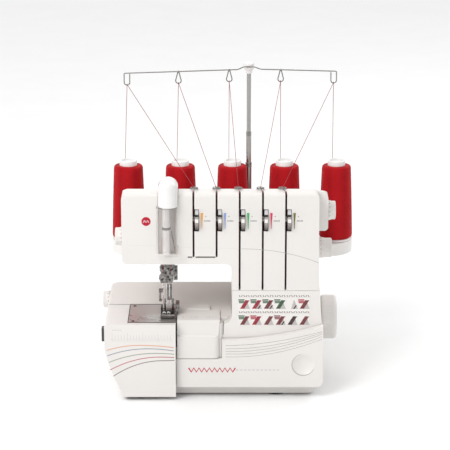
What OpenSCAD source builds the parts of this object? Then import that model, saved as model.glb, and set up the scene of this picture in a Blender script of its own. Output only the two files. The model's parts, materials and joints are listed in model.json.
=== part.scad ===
// Household five-thread overlock machine. A flat bed on the left and a pillar on the right carry an
// arm with the needle bar, and a spool stand behind holds five cones and a telescopic thread guide.
// The origin is on the floor under the middle of the machine. X runs right, Y back and Z up.

/* [Bed] */
// Left side of the bed
bed_left = -196.5; // [-198:0.5:-194]
// Height of the sewing surface
bed_top = 126; // [125:0.5:127]
// Back of the bed and pillar
body_back = 57; // [54:0.5:60]
// Radius of the bed's rear left corner
bed_corner_r = 18; // [10:1:24]
// Wall thickness of the mouldings
wall = 3; // [2.5:0.1:3.2]

/* [Arm and pillar] */
// Left end of the arm
arm_left = -168; // [-172:0.5:-164]
// Underside of the arm
arm_bottom = 219; // [217:0.5:220]
// Top of the front cover
arm_top = 332.5; // [330:0.5:334]
// Left side of the pillar
pillar_left = 4; // [3:0.5:6]
// Right side of the pillar
pillar_right = 141; // [140.5:0.5:142]
// Front face of the arm and pillar
cover_y = -147; // [-148:0.5:-146]
// Depth of the front cover behind its face
cover_depth = 33; // [31:0.5:34]
// Height of the seam between the front cover and the lower front panel
seam_z = 176; // [175:0.5:177]
// Back of the arm's top slope, measured down from the ridge
top_drop = 69; // [60:1:72]

/* [Thread slots] */
// Centre of the leftmost slot
slot_first_x = -56; // [-57:0.5:-55]
// Distance between slots
slot_pitch = 35.95; // [35.5:0.05:36.2]
// Width of a slot
slot_w = 3; // [2.8:0.1:3.2]
// Height of a tension dial's axis
tension_z = 290.5; // [288:0.5:293]
// Radius of a tension dial
tension_r = 18.5; // [17:0.5:18.5]
// Width of a tension dial
tension_w = 5.6; // [5:0.2:6]

/* [Front covers] */
// Front face of the cloth plate
cloth_front_y = -167; // [-168:0.5:-166]
// Right edge of the cloth plate
cloth_right = -84.5; // [-85:0.1:-84.4]
// Front face of the looper cover
looper_front_y = -158; // [-159:0.5:-157]
// Right edge of the looper cover
looper_right = 147.5; // [146:0.5:149]
// Bottom edge of the looper cover
looper_bottom = 19; // [18:0.5:20]
// Height of the looper cover's ledge at its left end
ledge_low = 97; // [96:0.5:98]
// Height of the looper cover's ledge at its right end
ledge_high = 121; // [119:0.5:122]
// Radius of the thumb dish
dish_r = 17; // [15:0.5:18]

/* [Needle drive] */
// Needle bar radius
needle_bar_r = 4.5; // [4:0.1:4.8]
// Presser bar radius
presser_bar_r = 4; // [3.5:0.1:4.2]
// Main shaft radius
shaft_r = 6; // [5.5:0.1:6.5]
// Height of the main shaft
shaft_z = 94; // [93:0.5:95]
// Handwheel radius
handwheel_r = 35.8; // [34:0.2:36.5]
// Radial clearance of a shaft in its bearing
run_gap = 0.05; // [0.02:0.01:0.08]

/* [Side dials] */
// Radius of the left dials
left_dial_r = 15; // [14:0.2:15.6]
// Radius of the right dials
right_dial_r = 16; // [15:0.2:16.5]

/* [Spool stand] */
// Underside of the stand
stand_z = 164.5; // [163:0.5:166]
// Height of the stand's rim
stand_h = 21; // [20:0.5:22]
// Half depth of the stand, which is also the radius of its ends
stand_r = 46; // [45:0.5:46]
// Centre of the leftmost cone
cone_first_x = -168.6; // [-170:0.2:-168]
// Distance between cones
cone_pitch = 87; // [86.5:0.1:87.4]
// Radius of a full winding at its foot
cone_r = 28; // [26:0.5:28.5]
// Radius of a full winding at its shoulder
cone_top_r = 24.3; // [22:0.1:25]

/* [Thread guide] */
// Place of the pole along the machine
pole_x = 32.8; // [32:0.2:34]
// Top of the guide's cap with the pole drawn out
guide_top = 485; // [480:1:490]
// Radius of the guide wire
wire_r = 1.1; // [0.9:0.1:1.2]
// Radius of a thread
thread_r = 0.3; // [0.25:0.05:0.35]

/* [Feet] */
// Radius of a rubber foot
foot_r = 18; // [16:0.5:19]
// Height of a rubber foot
foot_h = 3.5; // [3:0.5:4]

/* [Hidden] */

$fn = 64;
eps = 0.5;                          // how far a cutter runs past the face it opens
seam = 0.5;                         // open seam between two mouldings
split_y = cover_y + cover_depth;    // front cover meets rear casing
ridge_z = arm_top - 1.5;            // top of the rear casing at the ridge
table_right = -15;                  // right side of the extension table
table_step = -31;                   // where the table's narrow back part ends
deck_y = cover_y + 18.5;            // front edge of the bed's deck, behind the pillar's flare
slots = 5;
slot_foot = [for (i = [0:slots - 1]) i < 2 ? arm_bottom + 12 : seam_z + 1];
clip_first_x = -54.9;
clip_pitch = 34.375;
clip_y = -120;
clip_z = arm_top + 3.5;
dome_z = 340.5;                     // where the take-up cover's dome begins
tension_y = cover_y + 9.5;
// Half height of the window that each tension dial stands in
tension_gap = sqrt(tension_r * tension_r - (9.5 - wall) * (9.5 - wall)) + 0.6;
cloth_hinge = [-193.5, -66.5];      // vertical hinge line of the cloth plate
cloth_wall = 3;
hinge_y = looper_front_y + 8.5;     // looper cover's hinge rod
hinge_z = looper_bottom + 5.5;
needle_x = -98;
needle_y = -125;
presser_x = -96;
presser_y = -108;
foot_pivot_z = 146;
shaft_y = -30;
motor_y = 8;
motor_z = 58;
main_pulley_r = 32;
motor_pulley_r = 10;
belt_x = [116, 126];
lever_y = -70;
lever_z = 234;
upper_looper_x = -61;
lower_looper_x = -130;
knife_y = -50;
knife_z = 105;
cones = 5;
cone_y = 110;
stand_y = body_back + 18 + stand_r;
stand_top = stand_z + stand_h;
seat_h = 4.5;
winding_z = stand_top + seat_h + 0.5;
winding_h = 124;
pole_y = 132;
hook_x = [-169, -84, 0, 85, 172.5];
guide_z = guide_top - 15;           // guide wire at its left end
block_right = 155;                  // bulge of the rear casing behind the upper right dial

function slot_x(i) = slot_first_x + slot_pitch * i;
function clip_x(i) = clip_first_x + clip_pitch * i;
function cone_x(i) = cone_first_x + cone_pitch * i;
// Points of an arc about c from angle a0 to a1
function arc(c, r, a0, a1, n = 6) =
    [for (i = [0:n]) let (a = a0 + (a1 - a0) * i / n) [c[0] + r * cos(a), c[1] + r * sin(a)]];
// Outline of a rectangle with round corners
function round_rect(a, b, r) = concat(
    arc([b[0] - r, a[1] + r], r, -90, 0), arc([b[0] - r, b[1] - r], r, 0, 90),
    arc([a[0] + r, b[1] - r], r, 90, 180), arc([a[0] + r, a[1] + r], r, 180, 270));
// Left side of the bed, which curves in towards the floor
function bed_side_x(z) = bed_left + (z < 85 ? 0.1244 * pow(85 - z, 1.25) : 0);
// Top edge of the looper cover, a ledge that sweeps up to the right
function ledge_z(x) = ledge_low + (ledge_high - ledge_low) * pow(max(0, x + 2) / 150, 1.8);

module box(a, b) translate(a) cube(b - a);
// Outlines drawn in XZ, YZ or XY and given depth along the third axis
module slab_y(y0, y1) translate([0, y1, 0]) rotate([90, 0, 0]) linear_extrude(y1 - y0) children();
module slab_x(x0, x1) translate([x0, 0, 0]) rotate([90, 0, 90]) linear_extrude(x1 - x0) children();
module slab_z(z0, z1) translate([0, 0, z0]) linear_extrude(z1 - z0) children();
module along_x(x0, x1, y, z, r) translate([x0, y, z]) rotate([0, 90, 0]) cylinder(r = r, h = x1 - x0);
module along_y(x, y0, y1, z, r) translate([x, y1, z]) rotate([90, 0, 0]) cylinder(r = r, h = y1 - y0);
module along_z(x, y, z0, z1, r) translate([x, y, z0]) cylinder(r = r, h = z1 - z0);
// Straight wire between two points
module rod(p, q, r) {
    v = q - p;
    translate(p) rotate([0, acos(v[2] / norm(v)), atan2(v[1], v[0])]) cylinder(r = r, h = norm(v));
}

// ---- base -------------------------------------------------------------------------------------

module foot_places() for (x = [-120, 74], y = [-122, 34]) translate([x, y, 0]) children();

module base_tray() color("gainsboro") difference() {
    slab_z(foot_h, 18) polygon(round_rect([-160, -142], [134, body_back - 4], 8));
    slab_z(foot_h + wall, 18 + eps) polygon(round_rect([-157, -139], [131, body_back - 7], 6));
    foot_places() translate([0, 0, foot_h - eps]) cylinder(r = 3, h = wall + 2 * eps);
}

module rubber_feet() color("black") foot_places() {
    cylinder(r = foot_r, h = foot_h);
    translate([0, 0, foot_h]) cylinder(r = 2.95, h = 5);
}

// ---- frame ------------------------------------------------------------------------------------

lug_x = [-62, 30, 120];
knuckle_x = [-50, 42, 100];

module chassis_solids() {
    box([-160, -120, 18], [128, 40, 26]);
    for (x = [-128, -40, 128]) box([x, -60, 26], [x + 6, 0, 112]);
    box([20, -60, 26], [60, -10, 240]);
    box([-150, -75, 240], [120, -35, 275]);
    box([-112, -98, 224], [-84, -74, 292]);
    for (z = [224, 282]) box([-112, -136, z], [-84, -98, z + 10]);
    along_x(-84, -72, lever_y, lever_z, 2);
    for (x = lug_x) {
        box([x - 3, hinge_y, 20.5], [x + 3, -119, 26]);
        along_x(x - 3, x + 3, hinge_y, hinge_z, 4);
    }
    // looper posts with their pivot pins
    box([upper_looper_x - 4, -100, 26], [upper_looper_x + 4, -90, 78]);
    along_y(upper_looper_x, -113, -100, 70, 2.5);
    box([lower_looper_x - 4, -112, 26], [lower_looper_x + 4, -104, 70]);
    along_y(lower_looper_x, -123, -112, 62, 2.5);
    box([-160, -118, 26], [-155, -106, 64]);
    along_x(-155, -145, -112, 58, 2.5);
    // knife bracket
    box([-82, -58, 26], [-74, -42, 112]);
    along_x(-88, -82, knife_y, knife_z, 3);
}

module chassis_frame() color("darkgray") difference() {
    chassis_solids();
    along_x(-130, 136, shaft_y, shaft_z, shaft_r + run_gap);
    along_z(needle_x, needle_y, 222, 298, needle_bar_r + run_gap);
    along_z(presser_x, presser_y, 222, 298, presser_bar_r + run_gap);
    for (x = lug_x) along_x(x - 4, x + 4, hinge_y, hinge_z, 2 + run_gap);
}

// ---- casings ----------------------------------------------------------------------------------

// Section of the bed in XZ, drawn in by t on every side but the floor's
module bed_outline(t) polygon(concat(
    [for (i = [0:8]) let (z = 8 + 77 * i / 8) [bed_side_x(z) + t, z - (i == 0 ? t + eps : 0)]],
    [[bed_left + t, bed_top - 4 - t]], arc([bed_left + 4 + t, bed_top - 4 - t], 4, 150, 90, 2),
    [[pillar_left - seam + (t > 0 ? eps : 0), bed_top - t],
     [pillar_left - seam + (t > 0 ? eps : 0), 8 - (t > 0 ? t + eps : 0)]]));

module bed_plan(t) polygon(concat(
    [[bed_left - 1 + t, -61.5 - (t > 0 ? eps : 0)], [pillar_left + 1, -61.5 - (t > 0 ? eps : 0)],
     [pillar_left + 1, body_back - t]],
    arc([bed_left + bed_corner_r, body_back - bed_corner_r], bed_corner_r - t, 90, 180, 8)));

// Deck level with the bed, round the right and back of the extension table, with walls down its edges
module bed_deck() {
    x0 = table_right + 0.6;
    for (corner = [[x0, deck_y], [table_step + 0.6, -97.4], [-81.8, -73.5]])
        box([corner[0], corner[1], bed_top - wall], [pillar_left - seam, -61, bed_top]);
    box([x0, deck_y, 60], [x0 + wall, -97, bed_top]);
    box([x0, deck_y, 60], [pillar_left - seam, deck_y + wall, bed_top]);
    box([table_step + 0.6, -97.4, 96], [x0 + wall, -94.4, bed_top]);
}

module bed_casing() color("whitesmoke") difference() {
    union() {
        difference() {
            intersection() {
                slab_y(-61.5, body_back) bed_outline(0);
                slab_z(0, bed_top + 1) bed_plan(0);
            }
            intersection() {
                slab_y(-62.5, body_back - wall) bed_outline(wall);
                slab_z(0, bed_top + 1) bed_plan(wall);
            }
        }
        bed_deck();
    }
    along_x(bed_left - 1, bed_left + 5, 12, 110, 3 + run_gap);
}

// Arm and pillar seen from the front
module arm_outline(t, foot_z) polygon(concat(
    [[arm_left + t, arm_bottom + 8 + t]],
    arc([arm_left + 8 + t, arm_bottom + 8 + t], 8, 180, 270),
    [[pillar_left - 9 + t, arm_bottom + t]],
    arc([pillar_left - 9 + t, arm_bottom - 9 + t], 9, 90, 0),
    [[pillar_left + t, foot_z], [pillar_right - t, foot_z],
     [pillar_right - 1.6 - t, 258]],
    arc([pillar_right - 10.6 - t, arm_top - 9 - t], 9, 0, 90),
    arc([arm_left + 9 + t, arm_top - 9 - t], 9, 90, 180)));

// Side view of the front cover: a flat face with a round top front edge
module cover_profile(t) polygon(concat(
    [[split_y + (t > 0 ? eps : 0), 90], [split_y + (t > 0 ? eps : 0), arm_top - t]],
    arc([cover_y + 6 + t, arm_top - 6 - t], 6, 90, 180), [[cover_y + t, 90]]));

module slot_cut(i) box([slot_x(i) - slot_w / 2, cover_y - 1, slot_foot[i]],
    [slot_x(i) + slot_w / 2, cover_y + 22, arm_top + 1]);

module front_cover() color("whitesmoke") difference() {
    intersection() {
        slab_y(cover_y - 1, split_y) arm_outline(0, seam_z + seam / 2);
        slab_x(arm_left - 1, pillar_right + 1) cover_profile(0);
    }
    intersection() {
        slab_y(cover_y - 1, split_y + eps) arm_outline(wall, seam_z - 1);
        slab_x(arm_left - 1, pillar_right + 1) cover_profile(wall);
    }
    for (i = [0:slots - 1]) {
        slot_cut(i);
        box([slot_x(i) + 1.2, cover_y - 1, tension_z - tension_gap],
            [slot_x(i) + 3 + tension_w, cover_y + wall + 1, tension_z + tension_gap]);
        along_z(clip_x(i) - 5.5, clip_y, arm_top - wall - 1, arm_top + 1, 1);
        along_z(clip_x(i) + 5.5, clip_y, arm_top - wall - 1, arm_top + 1, 1);
    }
    // notch for the take-up cover, window behind the smoked guard, hole for the needle clamp
    box([-111.5, cover_y - 1, 313.5], [-79.5, split_y + 1, arm_top + 1]);
    box([-111, cover_y - 1, 236], [-84, cover_y + 5, 314]);
    box([-112, -140, arm_bottom - 1], [-84, split_y + 1, arm_bottom + 6]);
    // openings in the step under slots one and two
    box([slot_x(0) - 9, cover_y - 1, 229.6], [slot_x(0) - 2, cover_y + 4, 232]);
    box([slot_x(0) + 3, cover_y - 1, 229.6], [slot_x(1) - 2, cover_y + 4, 232]);
}

// Lower front of the pillar, with a concave flare on its left and a slight flare on its right
module panel_outline(t) polygon(concat(
    [[pillar_left + t, seam_z - seam / 2 - (t > 0 ? wall - 1 : 0)]],
    arc([pillar_left - 16 + t, 136], 16, 0, -80, 6),
    [[pillar_left - 13.5 + t, 99 - (t > 0 ? 5 : 0)], [pillar_right + 5 - t, 99 - (t > 0 ? 5 : 0)],
     [pillar_right + 4.5 - t, 122], [pillar_right + 0.6 - t, seam_z - seam / 2 - (t > 0 ? wall - 1 : 0)]]));

module lower_front_panel() color("white") difference() {
    slab_y(cover_y, split_y) panel_outline(0);
    slab_y(cover_y + wall, split_y + eps) panel_outline(wall);
    // the flare stays in front of the bed's hollow
    box([pillar_left - 20, cover_y + 18, 90], [pillar_left - 0.5, split_y + 1, 150]);
}

// Side view of the rear casing: the top slopes down to a rounded back
module rear_profile(t) let (s = top_drop / (body_back - split_y), f = t > 0 ? eps : 0) polygon(concat(
    [[split_y + seam - f, ridge_z - t], [body_back - 14, ridge_z - t - s * (body_back - 14 - split_y)]],
    arc([body_back - 14 - t * 0, ridge_z - s * (body_back - 14 - split_y) - 14], 14 - t, 80, 0),
    [[body_back - t, 20 - f], [-146 - f, 20 - f], [-146 - f, 93 - t], [split_y + seam - f, 93 - t]]));

// Arm and pillar of the rear casing seen from the front, reaching down to the base
module rear_outline(t) polygon(concat(
    [[arm_left + t, arm_bottom + 8 + t]],
    arc([arm_left + 8 + t, arm_bottom + 8 + t], 8, 180, 270),
    [[pillar_left - 9 + t, arm_bottom + t]],
    arc([pillar_left - 9 + t, arm_bottom - 9 + t], 9, 90, 0),
    t > 0 ? [[pillar_left + t, 118], [pillar_left - 1, 118], [pillar_left - 1, 19]]
          : [[pillar_left, 20]],
    [[pillar_right - t, t > 0 ? 19 : 20], [pillar_right - t, 258]],
    arc([pillar_right - 10.6 - t, arm_top - 9 - t], 9, 0, 90),
    arc([arm_left + 9 + t, arm_top - 9 - t], 9, 90, 180)));

module rear_block(t) slab_y(split_y + seam + t, 30 - t) polygon(concat(
    [[pillar_right - 12, 264 + t], [block_right - 6 - t, 264 + t]],
    arc([block_right - 6 - t, 270 + t], 6, -90, 0),
    arc([block_right - 14 - t, 314 - t], 14, 0, 90), [[pillar_right - 12, 328 - t]]));

module rear_casing() color("whitesmoke") difference() {
    intersection() {
        union() {
            slab_y(-146, body_back) rear_outline(0);
            rear_block(0);
        }
        slab_x(arm_left - 1, block_right + 1) rear_profile(0);
    }
    intersection() {
        union() {
            slab_y(-147, body_back) rear_outline(wall);
            rear_block(wall);
        }
        slab_x(arm_left - 1, block_right + 1) rear_profile(wall);
    }
    // underside: needle clamp hole and slot of the presser lever
    box([-112, split_y, arm_bottom - 1], [-84, -96, arm_bottom + 6]);
    box([-83, -80, arm_bottom - 1], [-72, -34, arm_bottom + 4]);
    // back of the take-up cover
    box([-111.5, split_y - 1, 313.5], [-79.5, -112, arm_top + 1]);
    along_x(pillar_right - 4, pillar_right + 1, shaft_y, shaft_z, 10);
    along_x(arm_left - 1, arm_left + 5, -90, 248.4, 3 + run_gap);
    along_x(block_right - 5, block_right + 1, -87, 290.6, 3 + run_gap);
    along_x(pillar_right - 5, pillar_right + 1, -70, 223.8, 3 + run_gap);
    box([pillar_right - 5, -112.2, 31.8], [pillar_right + 1, -69.8, 66.2]);
    for (x = [30, 115], z = [60, 210]) along_y(x, body_back - 5, body_back + 1, z, 1.7);
    // room for the looper cover's lower edge as it tips down
    box([pillar_right - 5, -147, 18], [pillar_right + 1, -140, 30]);
}

module casing_screws() color("silver") {
    for (x = [30, 115], z = [60, 210]) {
        along_y(x, body_back, body_back + 1.8, z, 3.5);
        along_y(x, body_back - 6, body_back, z, 1.6);
    }
    for (y = [-148, -72]) along_z(-152, y, bed_top - wall, bed_top + 0.4, 2.6);
}

// ---- cloth plate and looper cover -------------------------------------------------------------

// Corner box of front face, left side and top strip, open inside
module cloth_section(t) polygon(concat(
    [for (i = [0:8]) let (z = 6 + 79 * i / 8) [bed_side_x(z) + t, z - (i == 0 && t > 0 ? t : 0)]],
    [[bed_left + t, bed_top - 4 - t]], arc([bed_left + 4 + t, bed_top - 4 - t], 4, 150, 90, 2),
    [[cloth_right + (t > 0 ? 1 : 0), bed_top - t], [cloth_right + (t > 0 ? 1 : 0), 6 - (t > 0 ? t : 0)]]));

module cloth_plate() color("whitesmoke") difference() {
    union() {
        difference() {
            slab_y(cloth_front_y, cloth_hinge[1]) cloth_section(0);
            slab_y(cloth_front_y + cloth_wall, cloth_hinge[1] + 1) cloth_section(cloth_wall);
        }
        // hinge barrel in the rear left corner
        along_z(cloth_hinge[0], cloth_hinge[1], 88, 118, 3);
    }
    box([-160.4, -157.4, bed_top - wall - 1], [cloth_right + 1, -50, bed_top + 1]);
    along_z(cloth_hinge[0], cloth_hinge[1], 80, 119, 1.55);
    box([bed_left - 1, -132.4, 89], [bed_left + cloth_wall + 1, -127.6, 104]);
}

module cloth_plate_latch() color("black") {
    box([bed_left - 6, -136, 88], [bed_left - 0.3, -124, 110]);
    box([bed_left - 0.3, -132, 94.5], [bed_left + 7, -128, 103]);
}

// Face of the looper cover: a low band under the table and a tall part with the swept ledge
module looper_outline(t) polygon(concat(
    [[-83.8 + t, looper_bottom + t], [-83.8 + t, 66 - t], [-12 + t, 66 - t]],
    [for (i = [0:12]) let (x = -12 + t + (looper_right - t - (-12 + t)) * i / 12) [x, ledge_z(x) - t]],
    arc([looper_right - 9 - t, looper_bottom + 9 + t], 9, 0, -90)));

module looper_cover() color("whitesmoke") difference() {
    union() {
        difference() {
            slab_y(looper_front_y, cover_y - 0.6) looper_outline(0);
            slab_y(looper_front_y + wall, cover_y) looper_outline(wall);
        }
        along_y(117, looper_front_y + 1, looper_front_y + 9, 57, dish_r + 3.5);
        for (x = knuckle_x) {
            along_x(x, x + 6, hinge_y, hinge_z, 4);
            box([x, looper_front_y + 1, hinge_z - 2], [x + 6, hinge_y, hinge_z + 3]);
        }
    }
    // thumb dish
    translate([117, looper_front_y - 21, 57]) sphere(r = 27);
    for (x = knuckle_x) along_x(x - 1, x + 7, hinge_y, hinge_z, 2 + run_gap);
    // clearance round the frame's lugs when the cover tips down or slides
    for (x = lug_x) box([x - 12, looper_front_y + wall, 15], [x + 4, cover_y, 34]);
}

module cover_hinge_rod() color("silver") along_x(-68, 128, hinge_y, hinge_z, 2);

// ---- table and plates -------------------------------------------------------------------------

module table_profile(t) let (f = t > 0 ? 4 : 0) polygon([
    [-74 + f, 130 - t], [-97 - t * 0.4, 130 - t], [-98 - t * 0.4, 128 - t], [-148 + t, 128 - t],
    [-152 + t, 125 - t], [-154.5 + t, 105 - t * 0.5], [-157.6 + t, 103 - t * 0.5], [-157.6 + t, 67 - f],
    [-74 + f, 67 - f]]);

module table_plan(t) polygon(concat(
    [[-82.4 - (t > 0 ? 1 : 0), -158], [table_right - 10 - t, -158]],
    arc([table_right - 10 - t, -147.6 + t], 10, -90, 0),
    [[table_right - t, -98], [table_step - t, -98], [table_step - t, -73.8 + t],
     [-82.4 - (t > 0 ? 1 : 0), -73.8 + t]]));

module extension_table() color("whitesmoke") difference() {
    union() {
        intersection() {
            slab_x(-82.4, table_right) table_profile(0);
            slab_z(60, 131) table_plan(0);
        }
        // set-back flank that closes the gap to the looper cover and the pillar's flare
        box([table_right - 2, -150, 67], [-12.6, deck_y - 1.5, 122]);
        box([table_right - 2, -146, 98.5], [-10.3, deck_y - 1.5, 122]);
    }
    intersection() {
        slab_x(-84, table_right) table_profile(wall);
        slab_z(60, 131) table_plan(wall);
    }
    // the back stays open above the bed's edge, and the looper cover's band stays clear
    box([-84, -99, 60], [-14, -73, 126.6]);
}

module needle_plate() color("lightgray") difference() {
    box([-160, -157, bed_top - wall], [-85, -62, bed_top]);
    box([-105.4, -125, bed_top - 4], [-97.6, -85, bed_top + 1]);
    box([-96.4, -125, bed_top - 4], [-88.6, -85, bed_top + 1]);
    box([-106, -130, bed_top - 4], [-92, -126.5, bed_top + 1]);
    for (y = [-148, -72]) along_z(-152, y, bed_top - 4, bed_top + 1, 2.65);
}

module stitch_chart() color("wheat") box([13.4, cover_y - 0.5, 118.5], [126.9, cover_y, 169]);

// ---- head -------------------------------------------------------------------------------------

// Bullet-shaped shell: an upright half round with a domed top, carried back over the arm
module bullet(r, z0) {
    for (y = [-149.5, -130]) {
        along_z(-95.5, y, z0, dome_z, r);
        translate([-95.5, y, dome_z]) sphere(r = r);
    }
    box([-95.5 - r, -149.5, z0], [-95.5 + r, -130, dome_z]);
    along_y(-95.5, -149.5, -130, dome_z, r);
}

module take_up_cover() color("white") difference() {
    bullet(15.5, 314);
    bullet(13.5, 313);
}

module smoked_guard() color([0.8, 0.76, 0.74, 0.5]) difference() {
    union() {
        along_z(-97.5, -148.5, 236, 313.5, 16.5);
        box([-97.5, -162, 236], [-79.5, -148.5, 250]);
    }
    along_z(-97.5, -148.5, 235, 314, 14.9);
    box([-97.5, -160.4, 235], [-81.1, -147, 248.4]);
    box([-120, cover_y - 0.2, 235], [-70, -125, 315]);
}

module slot_liners() color([0.12, 0.11, 0.11]) for (i = [0:slots - 1]) difference() {
    box([slot_x(i) - 4.5, cover_y + wall + 0.1, slot_foot[i] + 0.5],
        [slot_x(i) + 4.5, split_y - 10, arm_top - wall - 6]);
    box([slot_x(i) - 1.4, cover_y, slot_foot[i]], [slot_x(i) + 1.4, split_y - 14, arm_top]);
    // room for the wheel on the right and for the discs across the slot
    along_x(slot_x(i) + 1.3, slot_x(i) + 5, tension_y, tension_z, tension_r + 1);
    along_x(slot_x(i) - 2.4, slot_x(i) + 2.4, tension_y, tension_z, 6.5);
}

module tension_dial(i) color("dimgray") difference() {
    along_x(slot_x(i) + 2.4, slot_x(i) + 2.4 + tension_w, tension_y, tension_z, tension_r);
    along_x(slot_x(i), slot_x(i) + 12, tension_y, tension_z, 1.5 + run_gap);
}
module tension_dial_1() tension_dial(0);
module tension_dial_2() tension_dial(1);
module tension_dial_3() tension_dial(2);
module tension_dial_4() tension_dial(3);
module tension_dial_5() tension_dial(4);

module tension_discs() color("silver") for (i = [0:slots - 1]) {
    for (s = [-1.4, 0.6]) along_x(slot_x(i) + s, slot_x(i) + s + 0.8, tension_y, tension_z, 5.5);
    along_x(slot_x(i) + 1.4, slot_x(i) + 11, tension_y, tension_z, 1.5);
}

module thread_clips() color("silver") for (i = [0:slots - 1]) translate([clip_x(i), clip_y, 0]) {
    translate([0, 0, clip_z]) rotate_extrude() translate([5.5, 0]) circle(r = 0.9, $fn = 16);
    for (x = [-5.5, 5.5]) along_z(x, 0, arm_top - wall, clip_z, 0.85);
}

module needle_bar() color("silver") {
    along_z(needle_x, needle_y, 190, 330, needle_bar_r);
    // take-up arm inside the bullet cover
    box([-101, -142, 322], [-95, needle_y, 326]);
}

module needle_clamp() color("silver") difference() {
    slab_y(-133, -117.2) polygon([[-108, 214], [-108, 196], [-111, 192], [-108, 184], [-90, 184],
        [-88, 188], [-86, 214]]);
    along_z(needle_x, needle_y, 189.98, 216, needle_bar_r + 0.02);
    for (x = [-104, -99, -94.5]) along_z(x, -128, 183, 190, 1.05);
}

module needles() color("silver") for (x = [-104, -99, -94.5]) {
    along_z(x, -128, 176, 189.9, 1);
    along_z(x, -128, 146, 176, 0.55);
    translate([x, -128, 143]) cylinder(r1 = 0.12, r2 = 0.55, h = 3);
}

module clamp_screws() color("black") for (p = [[-105, 209], [-92, 206], [-100, 201], [-106, 190], [-94, 190]])
    along_y(p[0], -134.6, -133, p[1], 1.7);

module presser_bar() color("silver") difference() {
    union() {
        along_z(presser_x, presser_y, 152, 304, presser_bar_r);
        box([presser_x - 4, presser_y - 4, 140], [presser_x + 4, presser_y + 4, 152]);
    }
    along_x(presser_x - 5, presser_x + 5, presser_y, foot_pivot_z, 1.5 + run_gap);
}

module presser_foot() color("silver") difference() {
    union() {
        slab_x(-109, -86.5) polygon([[-139, 132], [-136, 127.2], [-100, 127.2], [-94, 129], [-94, 130.2],
            [-132, 130.2], [-137.6, 133.5]]);
        for (x = [-103.5, -90.8]) box([x, -113, 129], [x + 2.5, -103, 149]);
        along_x(-103.5, -88.3, presser_y, foot_pivot_z, 1.5);
    }
    box([-106.5, -131, 120], [-92, -125, 140]);
    // the ankle block of the bar stands between the ears
    box([presser_x - 4.4, -113, 130.1], [presser_x + 4.4, -103, 143]);
}

module presser_lever() color("silver") difference() {
    union() {
        along_x(-81.5, -73.5, lever_y, lever_z, 6);
        box([-81.5, lever_y - 3.5, 206], [-73.5, lever_y + 3.5, lever_z]);
        box([-83, lever_y - 3.5, 202], [-72, lever_y + 12, 206]);
    }
    along_x(-83, -71, lever_y, lever_z, 2 + run_gap);
}

// ---- sewing works -----------------------------------------------------------------------------

module upper_knife() color("dimgray") difference() {
    union() {
        slab_x(-84.6, -82.9) polygon([[-44, 111], [-44, 99], [-118, 99], [-118, 133], [-100, 133],
            [-100, 111]]);
        box([-85.5, -122, 132.6], [-79.5, -100, 145]);
        box([-84.6, -127, 121], [-83.2, -117, 140]);
    }
    along_x(-90, -80, knife_y, knife_z, 3 + run_gap);
}

module lower_knife() color("silver") box([-86.6, -128, 108], [-84.9, -108, bed_top - wall - 0.2]);

// A looper is a hub, an arm and a curved beak
module looper_shape(arm, beak_r) {
    circle(r = 5);
    polygon([[-2.5, 0], [2.5, 0], [2, arm], [-2, arm]]);
    polygon(concat(arc([-beak_r, arm - 1], beak_r + 2, 0, 80), arc([-beak_r, arm - 1], beak_r - 1.5, 80, 0)));
}

module upper_looper() color("silver") difference() {
    translate([upper_looper_x, 0, 70]) slab_y(-111, -103) looper_shape(34, 13);
    along_y(upper_looper_x, -120, -95, 70, 2.5 + run_gap);
}

module lower_looper() color("silver") difference() {
    translate([lower_looper_x, 0, 62]) mirror([1, 0, 0]) slab_y(-121, -114) looper_shape(38, 15);
    along_y(lower_looper_x, -130, -105, 62, 2.5 + run_gap);
}

module chain_looper() color("silver") difference() {
    translate([0, -112, 58]) slab_x(-153, -147) looper_shape(42, 12);
    along_x(-156, -144, -112, 58, 2.5 + run_gap);
}

module feed_dogs() color("silver") {
    for (x = [-104.5, -95.5]) slab_x(x, x + 6) polygon(concat([[-88, 116], [-122, 116], [-122, 124.4]],
        [for (i = [0:33]) [-121.5 + i, 124.4 + (i % 2) * 0.9]], [[-88, 124.4]]));
    box([-105, -122, 111], [-89, -88, 116]);
    box([-99, -88, 111], [-95, -64, 116]);
}

// ---- drive ------------------------------------------------------------------------------------

module handwheel() color("antiquewhite") difference() {
    union() {
        translate([149.5, shaft_y, shaft_z]) rotate([0, 90, 0]) rotate_extrude() polygon(concat(
            [[0, 0], [handwheel_r - 2.5, 0], [handwheel_r - 0.8, 2]],
            arc([handwheel_r - 5, 20], 5, 0, 90), [[handwheel_r - 11, 25], [handwheel_r - 13, 22], [0, 22]]));
    }
    along_x(149, 168, shaft_y, shaft_z, shaft_r + 0.02);
}

module main_shaft() color("silver") {
    along_x(-132, 166, shaft_y, shaft_z, shaft_r);
    along_x(belt_x[0], belt_x[1], shaft_y, shaft_z, main_pulley_r);
    along_x(-110, -104, shaft_y + 4, shaft_z, 13);
    along_x(-70, -64, shaft_y - 4, shaft_z, 13);
}

module drive_motor() color("dimgray") difference() {
    union() {
        along_x(64, 108, motor_y, motor_z, 24);
        along_x(60, 64, motor_y, motor_z, 12);
        along_x(108, 112, motor_y, motor_z, 12);
        box([68, motor_y - 16, 26], [104, motor_y + 16, motor_z - 10]);
    }
    along_x(100, 113, motor_y, motor_z, 3 + run_gap);
}

module motor_pulley() color("silver") {
    along_x(101, 128, motor_y, motor_z, 3);
    along_x(belt_x[0], belt_x[1], motor_y, motor_z, motor_pulley_r);
}

// Outline round both pulleys at a distance g from their rims: an arc on each, joined by the tangents
module belt_loop(g) let (
    dy = motor_y - shaft_y, dz = motor_z - shaft_z, r1 = main_pulley_r + g, r2 = motor_pulley_r + g,
    lean = acos((r1 - r2) / norm([dy, dz])), aim = atan2(dz, dy))
    polygon(concat(arc([shaft_y, shaft_z], r1, aim + lean, aim + 360 - lean, 36),
        arc([motor_y, motor_z], r2, aim - lean, aim + lean, 24)));

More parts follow.
